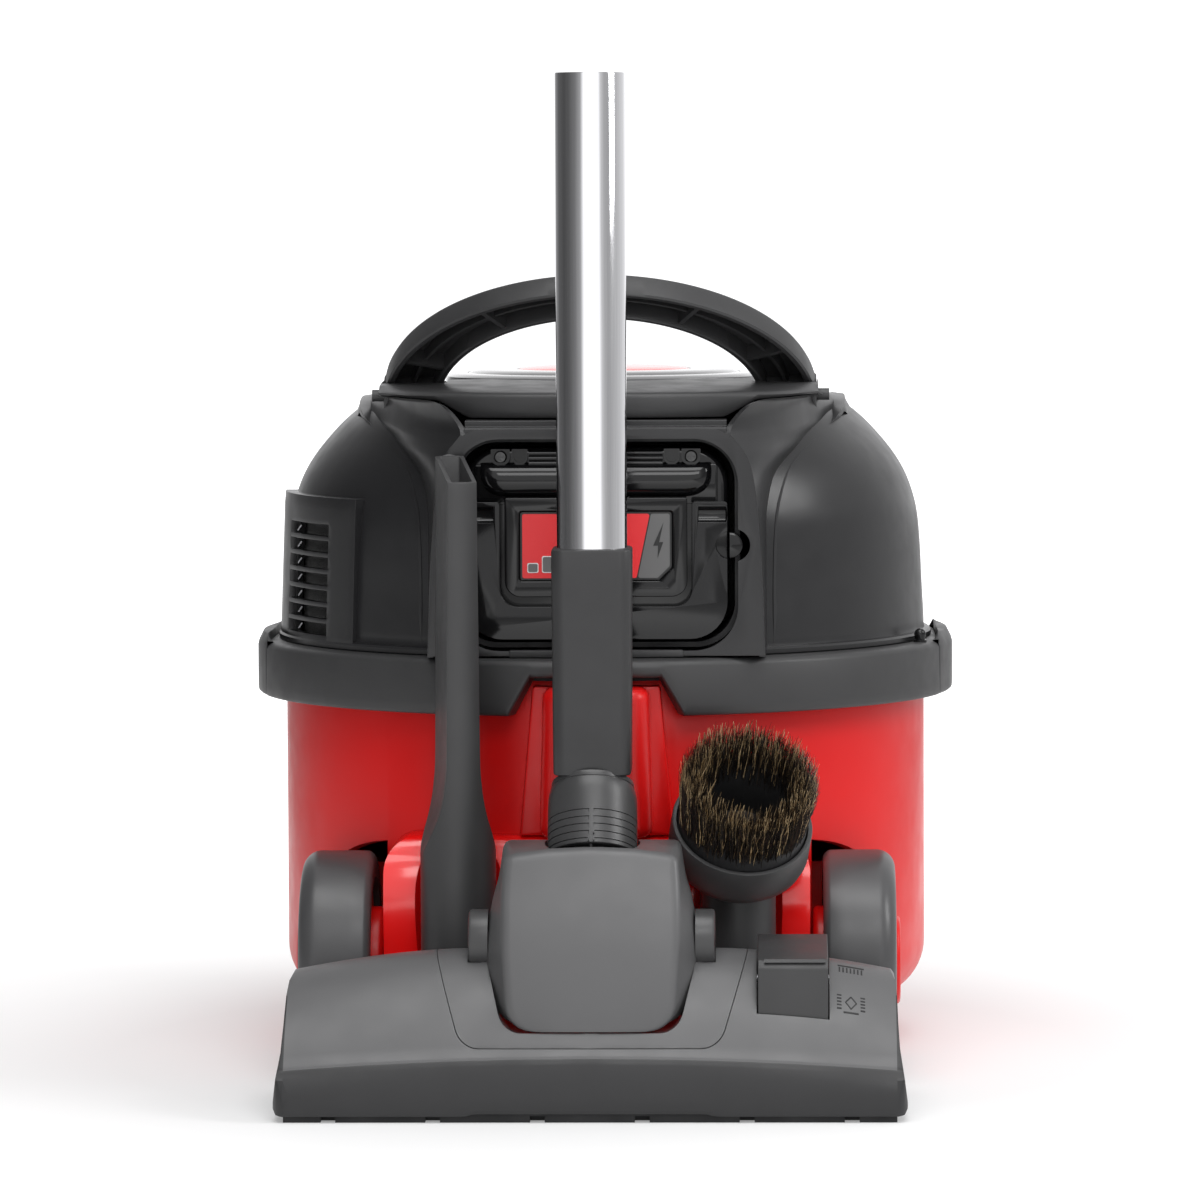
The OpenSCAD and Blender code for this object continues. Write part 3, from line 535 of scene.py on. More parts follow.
NODE_LOOKS = {
    "drum_shell": RED, "dock_column": RED, "tail_block": RED_BRIGHT, "tool_posts": TOOL_GREY,
    "rim_seal": SEAL,
    "stub_axles": STEEL, "tyre_left": TYRE, "tyre_right": TYRE, "hub_left": RED, "hub_right": RED,
    "castor_fork_left": TOOL_GREY, "castor_fork_right": TOOL_GREY, "castor_wheel_left": TYRE,
    "castor_wheel_right": TYRE, "rim_band": BAND_GREY, "rim_stud": PACK_BLACK, "latch_left": BAND_GREY,
    "latch_right": BAND_GREY, "latch_pins": STEEL, "dome_cover": DOME_BLACK, "bay_surround": DOME_BLACK,
    "bay_box": SEAL, "battery_pack": PACK_BLACK, "battery_cells": CELL_WRAP, "battery_label": RED,
    "battery_catch": PACK_BLACK, "bay_screws": STEEL, "top_bridge": HANDLE_GREY, "handle_pins": TOOL_GREY,
    "carry_handle": HANDLE_GREY, "lid_cover": LID_GREY, "lid_ring": LID_GREY, "lid_disc": RED,
    "power_button": RED, "louvre_panel": DOME_BLACK, "exhaust_filter": SLOT_SHADE_FELT, "hose_inlet": TOOL_GREY,
    "motor_deck": TOOL_GREY, "motor_housing": HANDLE_GREY, "motor_rotor": STEEL, "fan_wheel": ALLOY,
    "control_board": BOARD, "filter_frame": TOOL_GREY, "filter_cone": FELT, "wand_tube": CHROME,
    "wand_sleeve": SLEEVE_GREY, "swivel_cuff": CUFF_GREY, "neck_hood": HEAD_GREY, "neck_tube": SEAL,
    "pivot_bosses": CUFF_GREY, "head_shell": HEAD_GREY, "insert_panel": HEAD_GREY, "sole_plate": SEAL,
    "rocker_pedal": TOOL_GREY, "pedal_pin": STEEL, "brush_strips": SEAL, "sole_rollers": TOOL_GREY,
    "crevice_tool": TOOL_GREY, "brush_body": TOOL_GREY, "bristle_ring": SEAL,
}
for node, look in NODE_LOOKS.items():
    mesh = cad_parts[node].data
    for index in range(len(mesh.materials)):
        mesh.materials[index] = look


# ---------- Tub ----------
def rod(name, radius, x0, x1, y, z, segments=96):
    turn = turned(90, "Y")
    return lathe(name, [(0, 0), (radius, 0), (radius, x1 - x0), (0, x1 - x0)], segments, at=(x0, y, z),
                 turn=turn)


def upright(name, radius, z0, z1, x=0.0, y=0.0, segments=128):
    return lathe(name, [(0, z0), (radius, z0), (radius, z1), (0, z1)], segments, at=(x, y, 0))


def block(name, x0, x1, y0, y1, z0, z1):
    return prism(name, [(x0, z0), (x1, z0), (x1, z1), (x0, z1)], y0, y1)


AXLE_Y, AXLE_Z = -135.0, 55.0
CASTOR_X, CASTOR_Y = 69.0, 83.0
PIVOT_Y, PIVOT_Z = -258.0, 80.0
PEDAL_Y, PEDAL_Z = -262.0, 62.0
TOOL_X = (-67.5, 69.5)
TOOL_Y = -190.0
BRUSH = (Matrix.Translation((72, -213, 132)) @ turned(42, "X")
         @ turned(7, "Y"))


def arc(cx, cy, r, a0, a1, steps=10):
    return [(cx + r * math.cos(math.radians(mix(a0, a1, i / steps))),
             cy + r * math.sin(math.radians(mix(a0, a1, i / steps)))) for i in range(steps + 1)]


def make_drum():
    outer = [(0, 22)] + arc(TUB_R - 28, 50, 28, -90, 0, 14) + [(TUB_R, 194.5), (TUB_R - 0.8, 197), (0, 197)]
    inner = [(0, 25)] + arc(TUB_R - 28, 50, 25, -90, 0, 14) + [(TUB_R - 3, 205), (0, 205)]
    drum = lathe("drum", outer, 288)
    hollow = lathe("drum_hollow", inner, 288)
    keep = []
    for side in (-1, 1):
        keep.append(rod("well_wall", 63, *span(side, 103, 165), AXLE_Y, AXLE_Z))
        keep.append(upright("castor_wall", 35, 10, 49, side * CASTOR_X, CASTOR_Y, 64))
        keep.append(upright("castor_bush", 9, 20, 66, side * CASTOR_X, CASTOR_Y, 48))
    boolean(hollow, keep)
    boolean(drum, [hollow])
    # Raised docking column the wand's hook drops into, with a shallow flare either side.
    column = []
    for z in spaced(122, 195, 7.3):
        half = mix(27.5, 26.0, smooth(122, 190, z))
        column.append([(x, y, z) for x, y in rectangle(-half, half, -196, -150, 9, 6)])
    column = grid("column", column)
    edge_round(column, 5, 4, 50)
    flare = prism("column_flare", [(-38, 121), (38, 121), (31.5, 195), (-31.5, 195)], -170, -150)
    edge_round(flare, 1.5, 2, 50)
    boolean(drum, [flare, column], "UNION")
    cuts = []
    for side in (-1, 1):
        cuts.append(rod("well", 60, *span(side, 106, 172), AXLE_Y, AXLE_Z))
        cuts.append(upright("castor_pocket", 32, 15, 46, side * CASTOR_X, CASTOR_Y, 64))
        cuts.append(upright("castor_bore", 4.1, 15, 62, side * CASTOR_X, CASTOR_Y, 32))
        cuts.append(rod("axle_bore", 4.1, *span(side, 90, 110), AXLE_Y, AXLE_Z, 32))
    cuts.append(block("hook_slot", -9, 9, -192.5, -185.5, 174, 200))
    cuts.append(block("hook_notch", -10, 10, -200, -185.5, 189.6, 200))
    cuts.append(upright("drum_bore", TUB_R - 3, 100, 210, segments=288))
    boolean(drum, cuts)
    piece(drum, "tub", "red_plastic", RED, "drum_shell", "dock_column", angle=30)


TAIL_BACK = [(40, -178), (60, -178.6), (76, -180.6), (88, -181.5), (98, -180.6), (107, -177.2), (114, -172.4)]


def make_tail():
    back = [(-92, 14), (-200, 14), (-200, 36), (-180, 40)]
    back += [(interpolate(TAIL_BACK, z), z) for z in spaced(46, 112, 3)] + arc(-163, 111, 10, 170, 90,
            8)[2:] + [(-92, 121)]
    tail = prism("tail", rectangle(-105, 105, 14, 121, 17, 12), -210, -92)
    boolean(tail, [prism("tail_side", back, -110, 110, "x")], "INTERSECT")
    cuts = [upright("tail_bore", TUB_R + 0.2, 5, 140, segments=288),
            block("tail_sole", -110, 110, -205, -160, 5, 20)]
    for x in TOOL_X:
        cuts.append(upright("niche", 23.5, 24, 140, x, TOOL_Y, 96))
        cuts.append(block("niche_mouth", x - 23.5, x + 23.5, -210, TOOL_Y, 24, 140))
    cuts.append(lathe("brush_room", [(0, -36), (22, -35), (26, -31.5), (31, -27), (34.5, -22), (36, -17),
                                     (36, 5), (0, 5)], 96, turn=BRUSH))
    boolean(tail, cuts)
    edge_round(tail, 3.0, 4, 40)
    piece(tail, "tub", "red_plastic", RED_BRIGHT, "tail_block", angle=40)


def make_wheels():
    for side, name in ((-1, "left"), (1, "right")):
        turn = turned(90 * side, "Y")
        at = (side * 111.5, AXLE_Y, AXLE_Z)
        tread = ([(42, 0.3), (46, 0)] + arc(50, 5, 5, -90, -15, 8) + [(55, 11), (55, 24)]
                 + arc(46, 27, 9, 0, 90, 10) + [(42, 36)])
        tyre = lathe("tyre_" + name + "_rubber", tread, 160, closed=True, at=at, turn=turn)
        piece(tyre, "rear_wheel_" + name, "tyre_rubber", TYRE, "tyre_" + name)
        disc = ([(4.1, -5), (24, -5)] + arc(24, -2, 3, -90, 0, 6) + [(27, 3), (38, 3), (41.7, 5), (41.7, 32)]
                + arc(39.5, 31, 2.2, 0, 90, 5) + [(34, 32), (30, 29), (23, 29)] + [(22, 36.5)]
                + arc(20, 36.5, 2, 0, 90, 5) + [(4.1, 38.5)])
        hub = lathe("hub_" + name + "_plastic", disc, 128, closed=True, at=at, turn=turn)
        piece(hub, "rear_wheel_" + name, "red_plastic", RED, "hub_" + name)


# ---------- Rim band ----------
def make_band():
    def bottom(angle):
        x = abs(180 * math.sin(angle))
        if math.cos(angle) < 0:
            return 180.5
        return mix(180.5, 199.6, min(1.0, max(0.0, (43.5 - x) / 11)))

    rings = []
    for step in range(900):
        a = 2 * math.pi * step / 900
        z0 = bottom(a)
        section = [(166.2, z0), (177.8, z0), (179.3, z0 + 0.5), (180, z0 + 2), (180, min(204.6, z0 + 6)),
                   (179.7, 205.2), (178.8, 206.9), (177, 208.1), (174.6, 208.5), (150, 208.5), (150, 205.8),
                   (166.2, 205.7)]
        rings.append([(-r * math.sin(a), -r * math.cos(a), z) for r, z in section])
    band = tube_grid("rim_band_ring", rings)
    cuts = [block("latch_gap", *span(side, 171, 190), -52.5, 52.5, 170, 220) for side in (-1, 1)]
    boolean(band, cuts)
    edge_round(band, 0.7, 2, 40)
    piece(band, "motor_head", "grey_plastic", BAND_GREY, "rim_band", angle=35)
    for side, name in ((-1, "left"), (1, "right")):
        rows = []
        for y in spaced(-52, 52, 3):
            ends = smooth(52, 46, abs(y))
            section = [(171.5, 185.5), (177.0, 180.9), (178.6, 180.9), (179.8, 182), (180, 184), (180, 205),
                       (179.4, 207.4), (177, mix(208.6, 212.2, ends)), (174.5, mix(208.8, 213, ends)),
                       (171.5, mix(208.6, 212.6, ends))]
            rows.append([(side * math.sqrt(max(0.0, r * r - y * y)) if r > 175
                          else side * max(171.5, math.sqrt(r * r - y * y)), y, z) for r, z in section])
        latch = grid("latch_" + name + "_clip", rows)
        edge_round(latch, 0.8, 2, 40)
        piece(latch, "latch_" + name[0], "grey_plastic", BAND_GREY, "latch_" + name, angle=35)
    stud = lathe("band_stud", [(0, 208.3), (3.4, 208.3), (3.4, 209.4), (2.6, 209.8)]
                 + arc(0, 212.4, 3, -10, 90, 8), 40, at=(162, -60.5, 0))
    piece(stud, "motor_head", "black_plastic", PACK_BLACK, "rim_stud")


# ---------- Dome ----------
DOME = [(212, 165), (216, 165.3), (237, 164.2), (258, 163.2), (273, 161.7), (283.5, 159.1), (294, 154.9),
        (304, 148.7), (314.6, 139.9), (322, 132.5), (328.5, 124), (334, 112)]
BAY_SIDE = [(83, 209.5), (82, 240), (80.5, 265), (78.5, 290), (76, 303), (71.5, 312)]


def dome_radius(z):
    return interpolate(DOME, z)


def bay_outline(grow=0.0):
    half = [(x + grow, z + (grow if z > 310 else 0)) for x, z in smooth_bay()]
    return half + [(-x, z) for x, z in reversed(half)]


def smooth_bay():
    """The surround's right-hand outline, from its foot to the middle of its top, with a round corner."""
    upper = [(z, x) for x, z in BAY_SIDE]
    side = [(interpolate(upper, z), z) for z in spaced(209.5, 312, 4)]
    return side + [(68.2, 316.2), (64.2, 319.2), (60, 320.9), (55, 321.5)]


def make_dome():
    outer = [(dome_radius(z), z) for z in spaced(212, 334, 2.2)]
    profile = ([(150, 208.7), (168.6, 208.7), (169, 209.2), (169, 211.2), (168, 212.2), (165.6, 212.6)]
               + outer[1:] + [(104, 336.6), (94, 338.6), (83.2, 340)])
    inside = [(83.2, 336), (94, 335), (108, 331.5)] + [(dome_radius(z) - 3, z - (2 if z > 300 else 0))
            for z in reversed(spaced(214, 331, 4))] + [(162, 208.7)]
    dome = lathe("dome", profile + inside[:-1] + [(162, 212)], 288, closed=True)
    cuts = [prism("bay_cut", bay_outline(-1.5), -200, -92),
            prism("bridge_cut", rectangle(-119, 119, 326.5, 360, 3), -163, -42),
            lathe("inlet_cut", [(0, 0), (30.3, 0), (30.3, 100), (0, 100)], 96, at=(0, 100, 262),
                  turn=turned(-90, "X")),
            patch("louvre_window", 57, 72, 214, 270, lambda z: 190, lambda z: 120)]
    boolean(dome, cuts)
    dome.name = "dome"
    cheeks = [make_cheek(side) for side in (-1, 1)]
    ledge = prism("dome_ledge", [(-164.2, 319.5), (-164.2, 321.2), (-163, 322.2), (-158.5, 322.4),
                                 (-158, 322.8), (-158, 325), (-157.4, 325.5), (-140, 325.5), (-140, 319.5)],
                  -64.5, 64.5, "x")
    dome = join("dome_shell", [dome, ledge] + cheeks)
    piece(dome, "motor_head", "black_plastic", DOME_BLACK, "dome_cover", angle=34)


def patch(name, a0, a1, z0, z1, outside, inside, steps=2.0):
    """A block that follows the dome between two angles from the rear, on the left side."""
    rows = []
    for a in spaced(a0, a1, steps):
        s, c = math.sin(math.radians(a)), math.cos(math.radians(a))
        heights = spaced(z0, z1, 6)
        section = [(inside(z), z) for z in heights] + [(outside(z), z) for z in reversed(heights)]
        rows.append([(-r * s, -r * c, z) for r, z in section])
    return grid(name, rows)


def on_dome(x, z):
    r = dome_radius(z)
    return (x, -math.sqrt(max(0.0, r * r - x * x)), z)


def make_cheek(side):
    """The side of the battery housing, from the surround's edge back to a soft crest on the dome."""
    pairs = [((83, -165, 209.0), on_dome(88.2, 209.5)), ((82.4, -165, 225), on_dome(88.1, 225)),
             ((82, -165, 240), on_dome(88.0, 240)), ((81.3, -165, 254), on_dome(88.2, 254)),
             ((80.5, -165, 265), on_dome(88.6, 266)), ((79.6, -165, 278), on_dome(89.6, 279)),
             ((78.5, -165, 290), on_dome(92.4, 291)), ((77.2, -165, 298), on_dome(96.0, 300)),
             ((76, -165, 303), on_dome(102.0, 307)), ((74, -165, 308), on_dome(109.5, 313.5)),
             ((71.5, -165, 312), on_dome(116.5, 319.5)), ((68, -165, 316.2), (121.2, -60, 324.5)),
             ((66, -164.5, 320), (123.6, -50, 328.5)), ((70, -159, 327), (124.8, -37, 331)),
             ((79, -150, 334.4), (125.0, -22, 332.6)), ((95, -130, 335.6), (124.8, -8, 333.1)),
             ((108, -107, 336.2), (123.6, 6, 333.0)), ((112, -72, 335.5), (121.6, 18, 331.6)),
             ((109, -44, 332.5), (117.5, 32, 329.6)), ((106, 0, 333), (110, 46, 328.5))]
    rows = []
    for front, back in pairs:
        front, back = Vector(front), Vector(back)
        high = smooth(255, 312, front.z)
        top = smooth(312, 332, front.z)
        # A shallow valley just before the crest, fading out at the shoulder.
        depth = mix(3.0, 4.5, high) * (1 - 0.85 * top)
        width = mix(3.4, 6.0, high)
        valley = back + Vector((-width, depth * 0.9, -0.5 * high * width * (1 - top) + 0.6 * top))
        corner = front + Vector((0.4, 0, 0))
        control = Vector((mix(front.x, valley.x, mix(0.35, 0.62, high)),
                          mix(front.y, valley.y, mix(0.55, 0.30, high)), mix(front.z, valley.z, 0.45)))
        row = [corner + Vector((-3, 0.2, -1 if high > 0.9 else 0)), corner]
        for t in (0.04, 0.10, 0.18, 0.28, 0.4, 0.52, 0.64, 0.76, 0.88, 1.0):
            row.append(corner * (1 - t) ** 2 + control * 2 * t * (1 - t) + valley * t * t)
        crest = back + Vector((-0.6, -0.8, 0))
        for t in (0.25, 0.5, 0.75, 1.0):
            row.append(valley.lerp(crest, smooth(0, 1, t)))
        # Past the crest the skin dips into the dome, so that the two meet in a soft line.
        outward = Vector((back.x, back.y, 0)).normalized()
        along = Vector((-outward.y, outward.x, 0))
        foot = outward * (dome_radius(crest.z - 9) - 1.5) + Vector((0, 0, crest.z - 9)) + along * 3
        row.append((crest + along * 3 - outward * 0.6).lerp(crest + outward * 0.5 - Vector((0, 0, 2.2)), top))
        row.append((crest + along * 9 - outward * 3).lerp(foot, top))
        rows.append([(side * p.x, p.y, p.z) for p in row])
    dense = []
    for i in range(len(rows) - 1):
        for k in range(4):
            t = k / 4
            before, after = rows[max(0, i - 1)], rows[min(len(rows) - 1, i + 2)]
            dense.append([tuple(spline(before[j][c], rows[i][j][c], rows[i + 1][j][c], after[j][c], t)
                                for c in range(3)) for j in range(len(rows[i]))])
    dense.append(rows[-1])
    return grid("cheek", dense, around=False, ends=False)


def spline(a, b, c, d, t):
    return b + 0.5 * t * (c - a + t * (2 * a - 5 * b + 4 * c - d + t * (3 * (b - c) + d - a)))


def make_surround():
    plate = prism("surround_plate", bay_outline(), -165, -97)
    hollow = prism("surround_hollow", bay_outline(-3.5), -160, -90)
    opening = opening_cutter(-170, -90)
    boolean(plate, [hollow, opening])
    edge_round(plate, 1.0, 3, 50)
    piece(plate, "motor_head", "black_plastic", DOME_BLACK, "bay_surround", angle=40)
    trim = prism("bay_trim", rectangle(-43, 43, 208.8, 212.4, 0.8, 3), -166, -160)
    edge_round(trim, 0.5, 2, 50)
    piece(trim, "motor_head", "grey_plastic", HANDLE_GREY)


def opening_cutter(y0, y1):
    cutter = prism("opening", rectangle(-70, 70, 212, 316.5, 22, 12), y0, y1)
    bulge = lathe("bulge", [(0, 0), (8, 0), (8, y1 - y0), (0, y1 - y0)], 48, at=(68, y0, 264),
                  turn=turned(-90, "X"))
    return boolean(cutter, [bulge], "UNION")


def make_louvres():
    def face(z):
        return mix(168.2, 165.4, (z - 209) / 75) if z < 280 else 165.0

    panel = patch("louvre_face", 47.5, 88, 209, 284.5, face, lambda z: dome_radius(z) - 2, 1.6)
    cuts = []
    for i in range(7):
        z = 217.6 + 8.35 * i
        cuts.append(patch("slot", 55.5, 73.5, z - 3.0, z + 3.2, lambda h: 190, lambda h: 140, 3.0))
    boolean(panel, cuts)
    edge_round(panel, 1.1, 3, 40)
    piece(panel, "motor_head", "black_plastic", DOME_BLACK, "louvre_panel", angle=40)
    tips = []
    for i in range(7):
        z = 215.6 + 8.35 * i
        a0 = math.radians(71.5)
        r = 164.0
        tips.append(lathe("tip", [(0, 0), (0.55, 0.1), (0.6, 3.4), (0, 3.6)], 12,
                          at=(-r * math.sin(a0), -r * math.cos(a0), z),
                          turn=turned(35, "Y")))
    piece(join("louvre_pins", tips), "motor_head", "steel", STEEL)


# ---------- Battery ----------
def make_battery():
    shell = prism("pack", rectangle(-65, 65, 217.5, 312, 19, 12), -157.5, -96)
    edge_round(shell, 3, 4, 60)
    hollow = prism("pack_hollow", rectangle(-61, 61, 221.5, 308, 15, 10), -155, -98)
    boolean(shell, [hollow])
    # The moulded grip: a U of two arms and a base, with a slot round the inner panel.
    grip = prism("pack_grip", fillet([(-64.8, 217.7), (64.8, 217.7), (64.8, 285.5), (47.4, 285.5),
                                      (47.4, 233.8), (-47.4, 233.8), (-47.4, 285.5), (-64.8, 285.5)],
                                     [18.5, 18.5, 1.5, 1.5, 9, 9, 1.5, 1.5], 10), -164.6, -156)
    scoops = []
    for side in (-1, 1):
        scoops.append(lathe("scoop", [(0, 0), (4.4, 0), (4.4, 13.5), (0, 15)], 48,
                            at=(side * 50.5, -166.5, 279.2), turn=turned(90 * side, "Y")))
    scoops.append(lathe("catch_room", [(0, 0), (6.9, 0), (6.9, 10), (0, 10)], 48, at=(66, -168, 264),
                        turn=turned(-90, "X")))
    boolean(grip, scoops)
    edge_round(grip, 0.9, 3, 40)
    panel = prism("pack_panel", fillet([(-45, 238.6), (45, 238.6), (45, 287.5), (-45, 287.5)], [8, 8, 1, 1],
                                       10), -163.4, -156)
    recess = prism("label_room", fillet([(-37.8, 246.4), (31.4, 246.4), (38, 253), (38, 281), (-37.8, 281)],
                                        1.6, 4), -170, -162.4)
    boolean(panel, [recess])
    edge_round(panel, 0.6, 3, 40)
    # The rounded grip bar above the panel, its lower corners drawn up, and three ridges over it.
    rows = []
    for x in [-57.5, -57.3, -56.5, -55] + spaced(-53, 53, 2.5) + [55, 56.5, 57.3, 57.5]:
        reach = max(0.0, (abs(x) - 44) / 13.5)
        low = 287.4 + 10.5 * (1 - math.sqrt(max(0.0, 1 - reach * reach)))
        bulge = 8.2 * math.sqrt(max(0.004, 1 - max(0.0, (abs(x) - 49) / 8.5) ** 2))
        middle, half = (305 + low) / 2, (305 - low) / 2
        rows.append([(x, -156.2 + bulge * math.cos(math.radians(a)), middle
                      + half * math.sin(math.radians(a))) for a in spaced(0, 350, 10)])
    bar = grid("pack_bar", rows)
    neck = prism("pack_neck", rectangle(-60, 60, 284.2, 304, 1.5, 4), -158.6, -150)
    edge_round(neck, 0.8, 2, 50)
    ridges = []
    for i, z in enumerate((304.4, 306.9, 309.4)):
        ridges.append(lathe("ridge", [(0, 0), (1.15, 0), (1.15, 66), (0, 66)], 20,
                            at=(-33, -159.6 + 0.5 * i, z), turn=turned(90, "Y")))
    tabs = []
    for side in (-1, 1):
        for x, r, y in ((47, 4.7, -160.4), (37.5, 3.9, -160.0)):
            cup = fillet([(side * x - r, 311.5), (side * x - r, 303.6), (side * x + r, 303.6),
                          (side * x + r, 311.5)], [0.5, r * 0.98, r * 0.98, 0.5], 8)
            wall = prism("tab", cup, y, -152)
            bore = prism("tab_bore", [(u - (u - side * x) * 0.22, v - (v - 308) * 0.20 + 0.4) for u,
                                      v in cup], y - 2, -157.6)
            boolean(wall, [bore])
            tabs.append(wall)
    pack = join("battery_shell", [shell, grip, panel, bar, neck] + ridges + tabs)
    piece(pack, "motor_head", "gloss_black", PACK_BLACK, "battery_pack", angle=40)
    catch = lathe("pack_catch", [(0, -165), (5.0, -165), (6.2, -164.4), (6.5, -163.2), (6.5, -154),
                                 (0, -154)], 40, at=(66, 0, 264), turn=turned(-90, "X"))
    boolean(catch, [block("catch_cut", 55, 65.9, -170, -150, 250, 280)])
    edge_round(catch, 0.5, 2, 50)
    piece(catch, "catch", "gloss_black", PACK_BLACK, "battery_catch")
    screws = []
    for x in (-47, 47):
        screw = lathe("screw", [(0, 0), (3.1, 0), (3.1, 1.6), (2.5, 2.4), (0, 2.6)], 32,
                      at=(x, -157.8, 307.6), turn=turned(90, "X"))
        slots = [block("slot_a", x - 0.4, x + 0.4, -163, -159.4, 305.6, 309.6),
                 block("slot_b", x - 2, x + 2, -163, -159.4, 307.2, 308)]
        screws.append(boolean(screw, slots))
    piece(join("pack_screws", screws), "motor_head", "steel", DARK_SCREW, "bay_screws", angle=30)


def make_label():
    outline = fillet([(-37.2, 247), (30.9, 247), (37.3, 253.4), (37.3, 280.5), (-37.2, 280.5)], 1.4, 4)
    plate = prism("label_plate", outline, -162.9, -161.8)
    piece(plate, "motor_head", "label_print", LABEL_DARK, "battery_label")
    field = prism("label_field", fillet([(-36.3, 247.9), (20.0, 247.9), (26.6, 279.6), (-36.3, 279.6)], 1.0,
                                        4), -163.05, -162.5)
    piece(field, "motor_head", "label_print", LABEL_RED)
    end = prism("label_end", fillet([(20.6, 247.9), (30.4, 247.9), (36.4, 253.8), (36.4, 279.6),
                                     (27.2, 279.6)], 1.0, 4), -163.05, -162.5)
    piece(end, "motor_head", "label_print", LABEL_GREY)
    # Generic charge bars, pale behind and grey in front.
    bars_pale, bars_grey = [], []
    for i in range(7):
        x = -33.4 + 7.2 * i
        tall = 253.8 + 3.4 * min(i, 6) + 1.2
        for grow, y, out in ((0.45, -163.15, bars_pale), (0.0, -163.25, bars_grey)):
            out.append(prism("bar", rectangle(x - grow, x + 4.6 + grow, 251 - grow, min(tall, 276.4) + grow,
                                              0.8, 3), y, -162.8))
    piece(join("label_bars_pale", bars_pale), "motor_head", "label_print", LABEL_PALE)
    piece(join("label_bars", bars_grey), "motor_head", "label_print", LABEL_GREY)
    bolt = prism("label_bolt", [(30.4, 257.6), (33.2, 265.6), (31.2, 265.6), (33.4, 275.4), (28.2, 263.8),
                                (30.6, 263.8)], -163.2, -162.8)
    piece(bolt, "motor_head", "label_print", LABEL_DARK)


DARK_SCREW = metal("blackened_steel", (0.09, 0.09, 0.09), 0.35)
LABEL_RED = plastic("label_red", (0.80, 0.022, 0.028), 0.35, 400, 0.000006, 0.05)
LABEL_GREY = plastic("label_grey", (0.13, 0.13, 0.13), 0.35, 400, 0.000006, 0.05)
LABEL_PALE = plastic("label_pale", (0.75, 0.75, 0.75), 0.35, 400, 0.000006, 0.04)
LABEL_DARK = plastic("label_dark", (0.012, 0.012, 0.012), 0.35, 400, 0.000006, 0.05)

make_drum()
make_tail()
make_wheels()
make_band()
make_dome()
make_surround()
make_louvres()
make_battery()
make_label()

# ---------- Bridge, handle and lid ----------
HINGE = Vector((0, -67, 335))
BUTTON_Y = 58.0


def make_bridge():
    rows = []
    for x in spaced(-113, 113, 2.5):
        u = abs(x)
        front = -151.5 + 44 * (u / 113) ** 2.6
        under = 326.2 if u < 63.6 else mix(326.2, 334.6, min(1, (u - 63.6) / 15.2))
        under = under if u < 78.8 else mix(334.6, 336.8, (u - 78.8) / 34.2)
        droop = 0.7 * (u / 113) ** 2
        rows.append([(x, y, z) for y, z in [(front + 2.0, under), (front + 0.5, under + 0.3),
                (front, under + 1.2), (front, 336.2 if u < 79 else max(under + 1.3, 337)),
                (front + 0.5, 337.5 - droop * 0.4), (front + 1.7, 338.5 - droop),
                (front + 4, 339.2 - droop), (-100, 341.6 - droop), (-80, 342.9 - droop),
                (-62, 343.2 - droop), (-52, 342.6 - droop), (-46, 341.2 - droop), (-45, 339),
                (-45, max(under, 328)), (-90, max(under, 328)), (front + 14, under)]])
    bridge = grid("bridge", rows)
    sides = [block("bridge_side", *span(side, 72, 77.6), -92, -44, 330, 339.5) for side in (-1, 1)]
    boolean(bridge, sides, "UNION")
    cuts = [upright("lid_room", 83, 315, 360, segments=192),
            upright("neck_room", 101, 300, 327.8, segments=96)]
    for side in (-1, 1):
        cuts.append(rod("hinge_room", 21, *span(side, 77, 109.9), HINGE.y, HINGE.z, 64))
        cuts.append(rod("hinge_bore", 3.05, *span(side, 73, 118), HINGE.y, HINGE.z, 32))
        cuts.append(block("end_room", *span(side, 110.2, 115), -120, -40, 325, 350))
    boolean(bridge, cuts)
    edge_round(bridge, 0.5, 2, 45)
    piece(bridge, "motor_head", "grey_plastic", HANDLE_GREY, "top_bridge", angle=32)


def make_handle():
    lean = Matrix.Translation(HINGE) @ turned(50, "X")

    def at(theta, f, n):
        x = mix(109.5, 81.5, f) * math.cos(theta)
        h = mix(90, 69.5, f) * math.sin(theta)
        return tuple(lean @ Vector((x, n, h)))

    section = [(0.035, -7), (0.0, -6.0), (0.0, 4.0), (0.03, 5.8), (0.12, 6.9), (0.2, 7), (0.8, 7),
               (0.88, 6.9), (0.97, 5.8), (1.0, 4.0), (1.0, -6.0), (0.965, -7), (0.90, -7), (0.875, -6.2),
               (0.865, 3.8), (0.56, 4.4), (0.55, -2.4), (0.49, -2.4), (0.48, 4.4), (0.15, 3.8),
               (0.14, -6.2), (0.115, -7)]
    rows = [[at(math.radians(a), f, n) for f, n in section] for a in spaced(0, 180, 1.5)]
    parts = [grid("handle", rows)]
    for x in (-88, -52, 46, 84):
        middle = math.acos(x / 95.5)
        rows = [[at(middle + turn, f, n) for f, n in ((0.07, -5.2), (0.93, -5.2), (0.93, 5), (0.07, 5))]
                for turn in (-0.012, 0.012)]
        parts.append(grid("handle_rib", rows))
    for side in (-1, 1):
        barrel = lathe("handle_barrel", [(3.05, 0), (10, 0), (11, 1), (11, 27), (10, 28), (3.05, 28)], 64,
                       closed=True, at=(side * 81.5, HINGE.y, HINGE.z), turn=turned(90 * side, "Y"))
        parts.append(barrel)
    handle = join("carry_handle_arch", parts)
    piece(handle, "handle", "grey_plastic", HANDLE_GREY, "carry_handle", angle=36)


